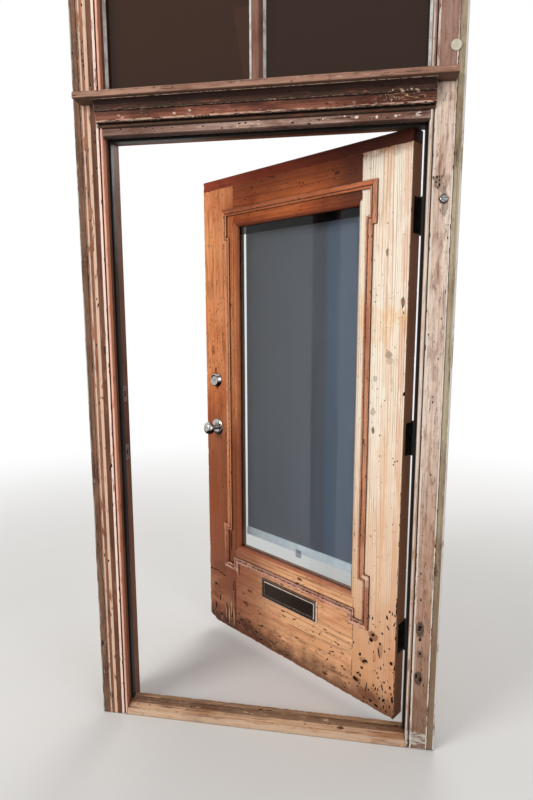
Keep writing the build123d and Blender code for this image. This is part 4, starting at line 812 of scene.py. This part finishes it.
def metal(name, colour, rough, metallic, tarnish, amount=0.5, scale=40.0, pale_edges=None, highlight_strips=(), underside_shade=None):
    """Metal with fine scratches, a patchy tarnish, paler edges that are partly rubbed and partly a painted
    highlight, painted highlight strips (x and z from and to), and painted shade on the faces that look down."""
    g = Graph(name)
    spot = g.place(bool(highlight_strips))
    patch = g.noise(spot, scale, 5.0, 0.6)
    scratch = g.noise(g.vec("MULTIPLY", spot, (1.0, 1.0, 0.2)), 900.0, 3.0)
    base = g.lay(colour, g.step(patch, 0.45, 0.7), amount, tarnish)
    rounded = g.rounded(0.0012)
    if pale_edges is not None:
        base = g.lay(base, g.arris(rounded, 0.99), g.step(patch, 0.36, 0.5), pale_edges)
    # Painted highlights: bright strips along the letter plate's edges.
    for x_low, x_high, z_low, z_high in highlight_strips:
        x, _, z = g.split(spot)
        strip = g.times(g.between(x, x_low, x_high, 0.0006), g.between(z, z_low, z_high, 0.0006))
        base = g.lay(base, strip, g.step(patch, 0.30, 0.45), pale_edges)
    # Painted shade and dark reflection on the faces that look down.
    if underside_shade is not None:
        lean = g.split(g.new("NewGeometry").outputs["Normal"])[2]
        base = g.mix(g.step(g.scaled(patch, 0.5, lean), 0.28, -0.02), base, underside_shade)
    shine = g.scaled(patch, 0.2, g.scaled(scratch, 0.12, rough - 0.14))
    return g.finish(base, shine, g.bump(scratch, 0.0002, 0.3, rounded), metallic)


paint("knob_outer knob_inner knob_roses cylinder_guard thumb_rose thumbturn", metal(
    "chrome", rgb(186, 182, 178), 0.08, 1.0, rgb(84, 72, 64), 0.75, 60.0, underside_shade=rgb(34, 27, 23)))
paint("metal_button", metal(
    "button", rgb(176, 178, 180), 0.1, 1.0, rgb(40, 36, 34), 0.9, 150.0, underside_shade=rgb(24, 22, 22)))
paint("lock_cases latch_bolt deadbolt_bolt key_plug strike_plates letter_flap_pins letter_sleeve blind_brackets",
      metal("steel", rgb(160, 158, 154), 0.35, 1.0, rgb(96, 84, 74)))
paint("hinges_frame_half hinges_leaf_half hinge_pins hinge_screws_frame hinge_screws_leaf",
      metal("black_iron", rgb(30, 27, 26), 0.5, 0.3, rgb(58, 44, 36)))
paint("letter_plate_outer letter_plate_inner", metal(
    "bronze", rgb(74, 58, 48), 0.30, 0.8, rgb(48, 38, 32), 0.5, 90.0, rgb(250, 234, 218),
    [(-0.138, 0.142, 0.3525, 0.3580), (0.1360, 0.1425, 0.290, 0.3580), (0.1500, 0.160, 0.277, 0.369),
     (-0.156, 0.156, 0.277, 0.2815)]))
paint("letter_flap_outer letter_flap_inner", metal(
    "flap_bronze", rgb(54, 43, 36), 0.2, 0.8, rgb(44, 35, 30), 0.5, 90.0, rgb(232, 206, 184)))


def plain(name, colour, other, rough, **sockets):
    """Painted or moulded surface with a soft change of tone and a fine tooth."""
    g = Graph(name)
    spot = g.place(False)
    patch = g.noise(spot, 30.0, 5.0, 0.6)
    tooth = g.noise(spot, 900.0, 2.0)
    return g.finish(g.mix(g.step(patch, 0.4, 0.7), colour, other), g.scaled(patch, 0.15, rough),
                    g.bump(tooth, 0.0003, 0.35), **sockets)


paint("putty", plain("putty_white", rgb(214, 214, 212), rgb(168, 160, 150), 0.55))
paint("cover_disc", plain("cream_disc", rgb(214, 208, 190), rgb(190, 180, 158), 0.4))
paint("hem_bar", plain("hem_fabric", rgb(248, 251, 255), rgb(228, 238, 250), 0.7))
paint("blind_roller", plain("roller_fabric", rgb(96, 102, 112), rgb(78, 84, 96), 0.8))
paint("pull_tab", plain("clear_tab", rgb(200, 205, 210), rgb(186, 190, 196), 0.08, Transmission_Weight=0.8))


def glass(name, colour, rough, amount, edge_shade=()):
    """Pane with a faint film of dust, and strips of painted shade along some edges (axis, from, to, colour)."""
    g = Graph(name)
    spot = g.place(bool(edge_shade))
    dust = g.noise(spot, 12.0, 2.0, 0.5)
    base = colour
    for axis, low, high, tone in edge_shade:
        strip = g.between(g.split(spot)["xyz".index(axis)], low, high, 0.004)
        base = g.lay(base, strip, g.scaled(dust, 0.2, 0.8), tone)
    return g.finish(base, g.scaled(dust, 0.01, rough), None, 0.0, Transmission_Weight=amount, IOR=1.3)


# Painted shade at the left edge beside the cloth and painted shadow along the top under the rail.
paint("glass_pane", glass("clear_glass", rgb(226, 232, 234), 0.01, 1.0, [
    ("x", -0.345, -0.3145, rgb(132, 68, 36)), ("z", 1.842, 1.90, rgb(34, 26, 22))]))
# Painted shade: the overlight panes are tinted dark brown for the dark room behind them.
paint("pane_left", glass("pane_left_shade_tint", rgb(62, 38, 24), 0.02, 0.3))
paint("pane_right", glass("pane_right_shade_tint", rgb(46, 28, 18), 0.02, 0.3))


# Blind cloth: a thin sheet from over the roller down to the hem bar
def blind_sheet():
    width, top, bottom = 0.628, 1.945, 0.5452
    depth = 0.1304
    rows, columns = 120, 48
    made = bmesh.new()
    grid = []
    for i in range(rows + 1):
        z = top + (bottom - top) * i / rows
        line = []
        for j in range(columns + 1):
            x = -width / 2 + width * j / columns
            fall = math.sin(math.pi * i / rows)
            wave = 0.0006 * math.sin(x * 23 + 1.3) * fall + 0.0004 * math.sin(x * 51 + z * 2.0) * fall
            line.append(made.verts.new(SWUNG @ Vector((x, depth + wave, z))))
        grid.append(line)
    for i in range(rows):
        for j in range(columns):
            face = made.faces.new((grid[i][j], grid[i][j + 1], grid[i + 1][j + 1], grid[i + 1][j]))
            face.smooth = True
    flat = made.loops.layers.uv.new("flat")
    for row, line in enumerate(grid):
        for column, vertex in enumerate(line):
            for loop in vertex.link_loops:
                loop[flat].uv = (width * column / columns, (top - bottom) * (1 - row / rows))
    return add("blind_sheet", mesh_from("blind_sheet", made, cloth_material()))


def cloth_material():
    """Grey-blue cloth, seen by its x and its height above the hem; a grey left part that is a painted
    reflection, painted shade at the top, lighter and darker parts, thin slubs.
    """
    g = Graph("blind_cloth_weave")
    spot = g.new("UVMap", uv_map="flat").outputs[0]
    x, z, _ = g.split(spot)
    threads = 2 * math.pi / 0.0014
    weave = g.times(g.math("SINE", g.times(x, threads)), g.math("SINE", g.times(z, threads)))
    weave = g.scaled(weave, 0.5, 0.5)
    slubs = g.noise(g.vec("MULTIPLY", spot, (1.0, 0.02, 1.0)), 900.0, 2.0)
    bands = g.noise(g.vec("MULTIPLY", spot, (1.0, 0.03, 1.0)), 14.0, 3.0)
    # Painted reflection: grey on the left part, blue-grey on the right.
    tone = g.mix(g.step(x, 0.425, 0.462), rgb(104, 103, 108), rgb(110, 120, 138))
    tone = g.mix(g.step(x, 0.02, 0.0), tone, rgb(110, 118, 134))
    tone = g.lay(tone, g.step(bands, 0.42, 0.62), 0.14, rgb(108, 114, 130))
    # Painted shade: darker near the top, under the rail.
    tone = g.mix(g.step(z, 1.29, 1.36), tone, rgb(92, 94, 100))
    tone = g.lay(tone, g.step(z, 0.9, 0.05), 0.25, rgb(96, 106, 126))
    tone = g.lay(tone, g.step(slubs, 0.55, 0.7), 0.06, rgb(70, 76, 90))
    tone = g.lay(tone, weave, 0.02, rgb(60, 66, 78))
    return g.finish(tone, 0.9, g.bump(slubs, 0.00005, 0.08), Sheen_Weight=0.05)


sheet = blind_sheet()
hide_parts("blind_cloth")
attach(sheet, "leaf")
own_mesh(sheet)


# Camera at the photograph's place; its long side and focal length in pixels, its sensor in millimetres
PHOTO_SIDE = 800
FOCAL = 546.31
SENSOR = 36.0
yaw, pitch = math.radians(-9.214), math.radians(8.581)
ahead = Vector((math.sin(yaw) * math.cos(pitch), math.cos(yaw) * math.cos(pitch), -math.sin(pitch)))
right = Vector((math.cos(yaw), -math.sin(yaw), 0.0))
up = right.cross(ahead)
camera_data = bpy.data.cameras.new("camera")
camera = add("camera", camera_data)
camera.matrix_world = Matrix((
    (right.x, up.x, -ahead.x, 0.3311),
    (right.y, up.y, -ahead.y, -1.7707),
    (right.z, up.z, -ahead.z, 1.4846),
    (0, 0, 0, 1),
))
camera_data.sensor_width = SENSOR
camera_data.lens = FOCAL / PHOTO_SIDE * SENSOR
camera_data.shift_x = -6.0 / PHOTO_SIDE
camera_data.shift_y = 2.88 / PHOTO_SIDE
bpy.context.scene.camera = camera


# Studio
FILL = 0.46
FLOOR_DROP = 0.001


def seen_directly(tree):
    """1 for what the camera, a reflection or a clear pane shows, 0 for what only lights the object."""
    rays = tree.nodes.new("ShaderNodeLightPath")
    total = rays.outputs["Is Camera Ray"]
    for name in ("Is Glossy Ray", "Is Transmission Ray"):
        either = tree.nodes.new("ShaderNodeMath")
        either.operation = "MAXIMUM"
        tree.links.new(total, either.inputs[0])
        tree.links.new(rays.outputs[name], either.inputs[1])
        total = either.outputs[0]
    return total


def white_glow(tree, kind):
    """Shader that shows as plain white."""
    glow = tree.nodes.new(kind)
    glow.inputs[0].default_value = (1.0, 1.0, 1.0, 1.0)
    glow.inputs[1].default_value = 1.0
    return glow.outputs[0]


made = bmesh.new()
bmesh.ops.create_grid(made, x_segments=1, y_segments=1, size=40.0)
g = Graph("studio_floor")
spot = g.place(False)
g.finish(g.mix(g.noise(spot, 2.0, 3.0), (0.80, 0.80, 0.795, 1.0), (0.77, 0.77, 0.765, 1.0)), 0.9)
away = g.step(g.vec("LENGTH", spot), 1.6, 5.0)
faded = g.new("MixShader", {0: g.times(away, seen_directly(g.tree)), 1: g.bsdf.outputs[0],
                            2: white_glow(g.tree, "ShaderNodeEmission")})
g.tree.links.new(faded.outputs[0], g.out.inputs[0])
floor = add("studio_floor", mesh_from("studio_floor", made, g.mat))
floor.location.z = -FLOOR_DROP

world = bpy.data.worlds.new("studio")
bpy.context.scene.world = world
world.use_nodes = True
tree = world.node_tree
tree.nodes.clear()
world_out = tree.nodes.new("ShaderNodeOutputWorld")
fill = tree.nodes.new("ShaderNodeBackground")
fill.inputs[0].default_value = (1.0, 0.985, 0.965, 1.0)
fill.inputs[1].default_value = FILL
switch = tree.nodes.new("ShaderNodeMixShader")
tree.links.new(seen_directly(tree), switch.inputs[0])
tree.links.new(fill.outputs[0], switch.inputs[1])
tree.links.new(white_glow(tree, "ShaderNodeBackground"), switch.inputs[2])
tree.links.new(switch.outputs[0], world_out.inputs[0])


def area_lamp(name, place, aim, size, power, colour):
    data = bpy.data.lights.new(name, "AREA")
    data.shape = "RECTANGLE"
    data.size, data.size_y = size
    data.energy = power
    data.color = colour
    lamp = add(name, data)
    lamp.location = place
    lamp.rotation_euler = (Vector(aim) - Vector(place)).to_track_quat("-Z", "Y").to_euler()


area_lamp("key_lamp", (-3.4, -3.3, 3.2), (0.1, 0.1, 1.3), (2.2, 2.4), 150, (1.0, 0.98, 0.95))
area_lamp("right_lamp", (3.4, -3.2, 2.2), (0.1, 0.1, 1.2), (2.4, 2.8), 48, (0.97, 0.98, 1.0))
area_lamp("room_lamp", (0.6, 4.2, 3.4), (0.0, 0.3, 1.3), (3.0, 2.4), 85, (1.0, 0.97, 0.93))

bpy.context.scene.view_settings.view_transform = "Standard"
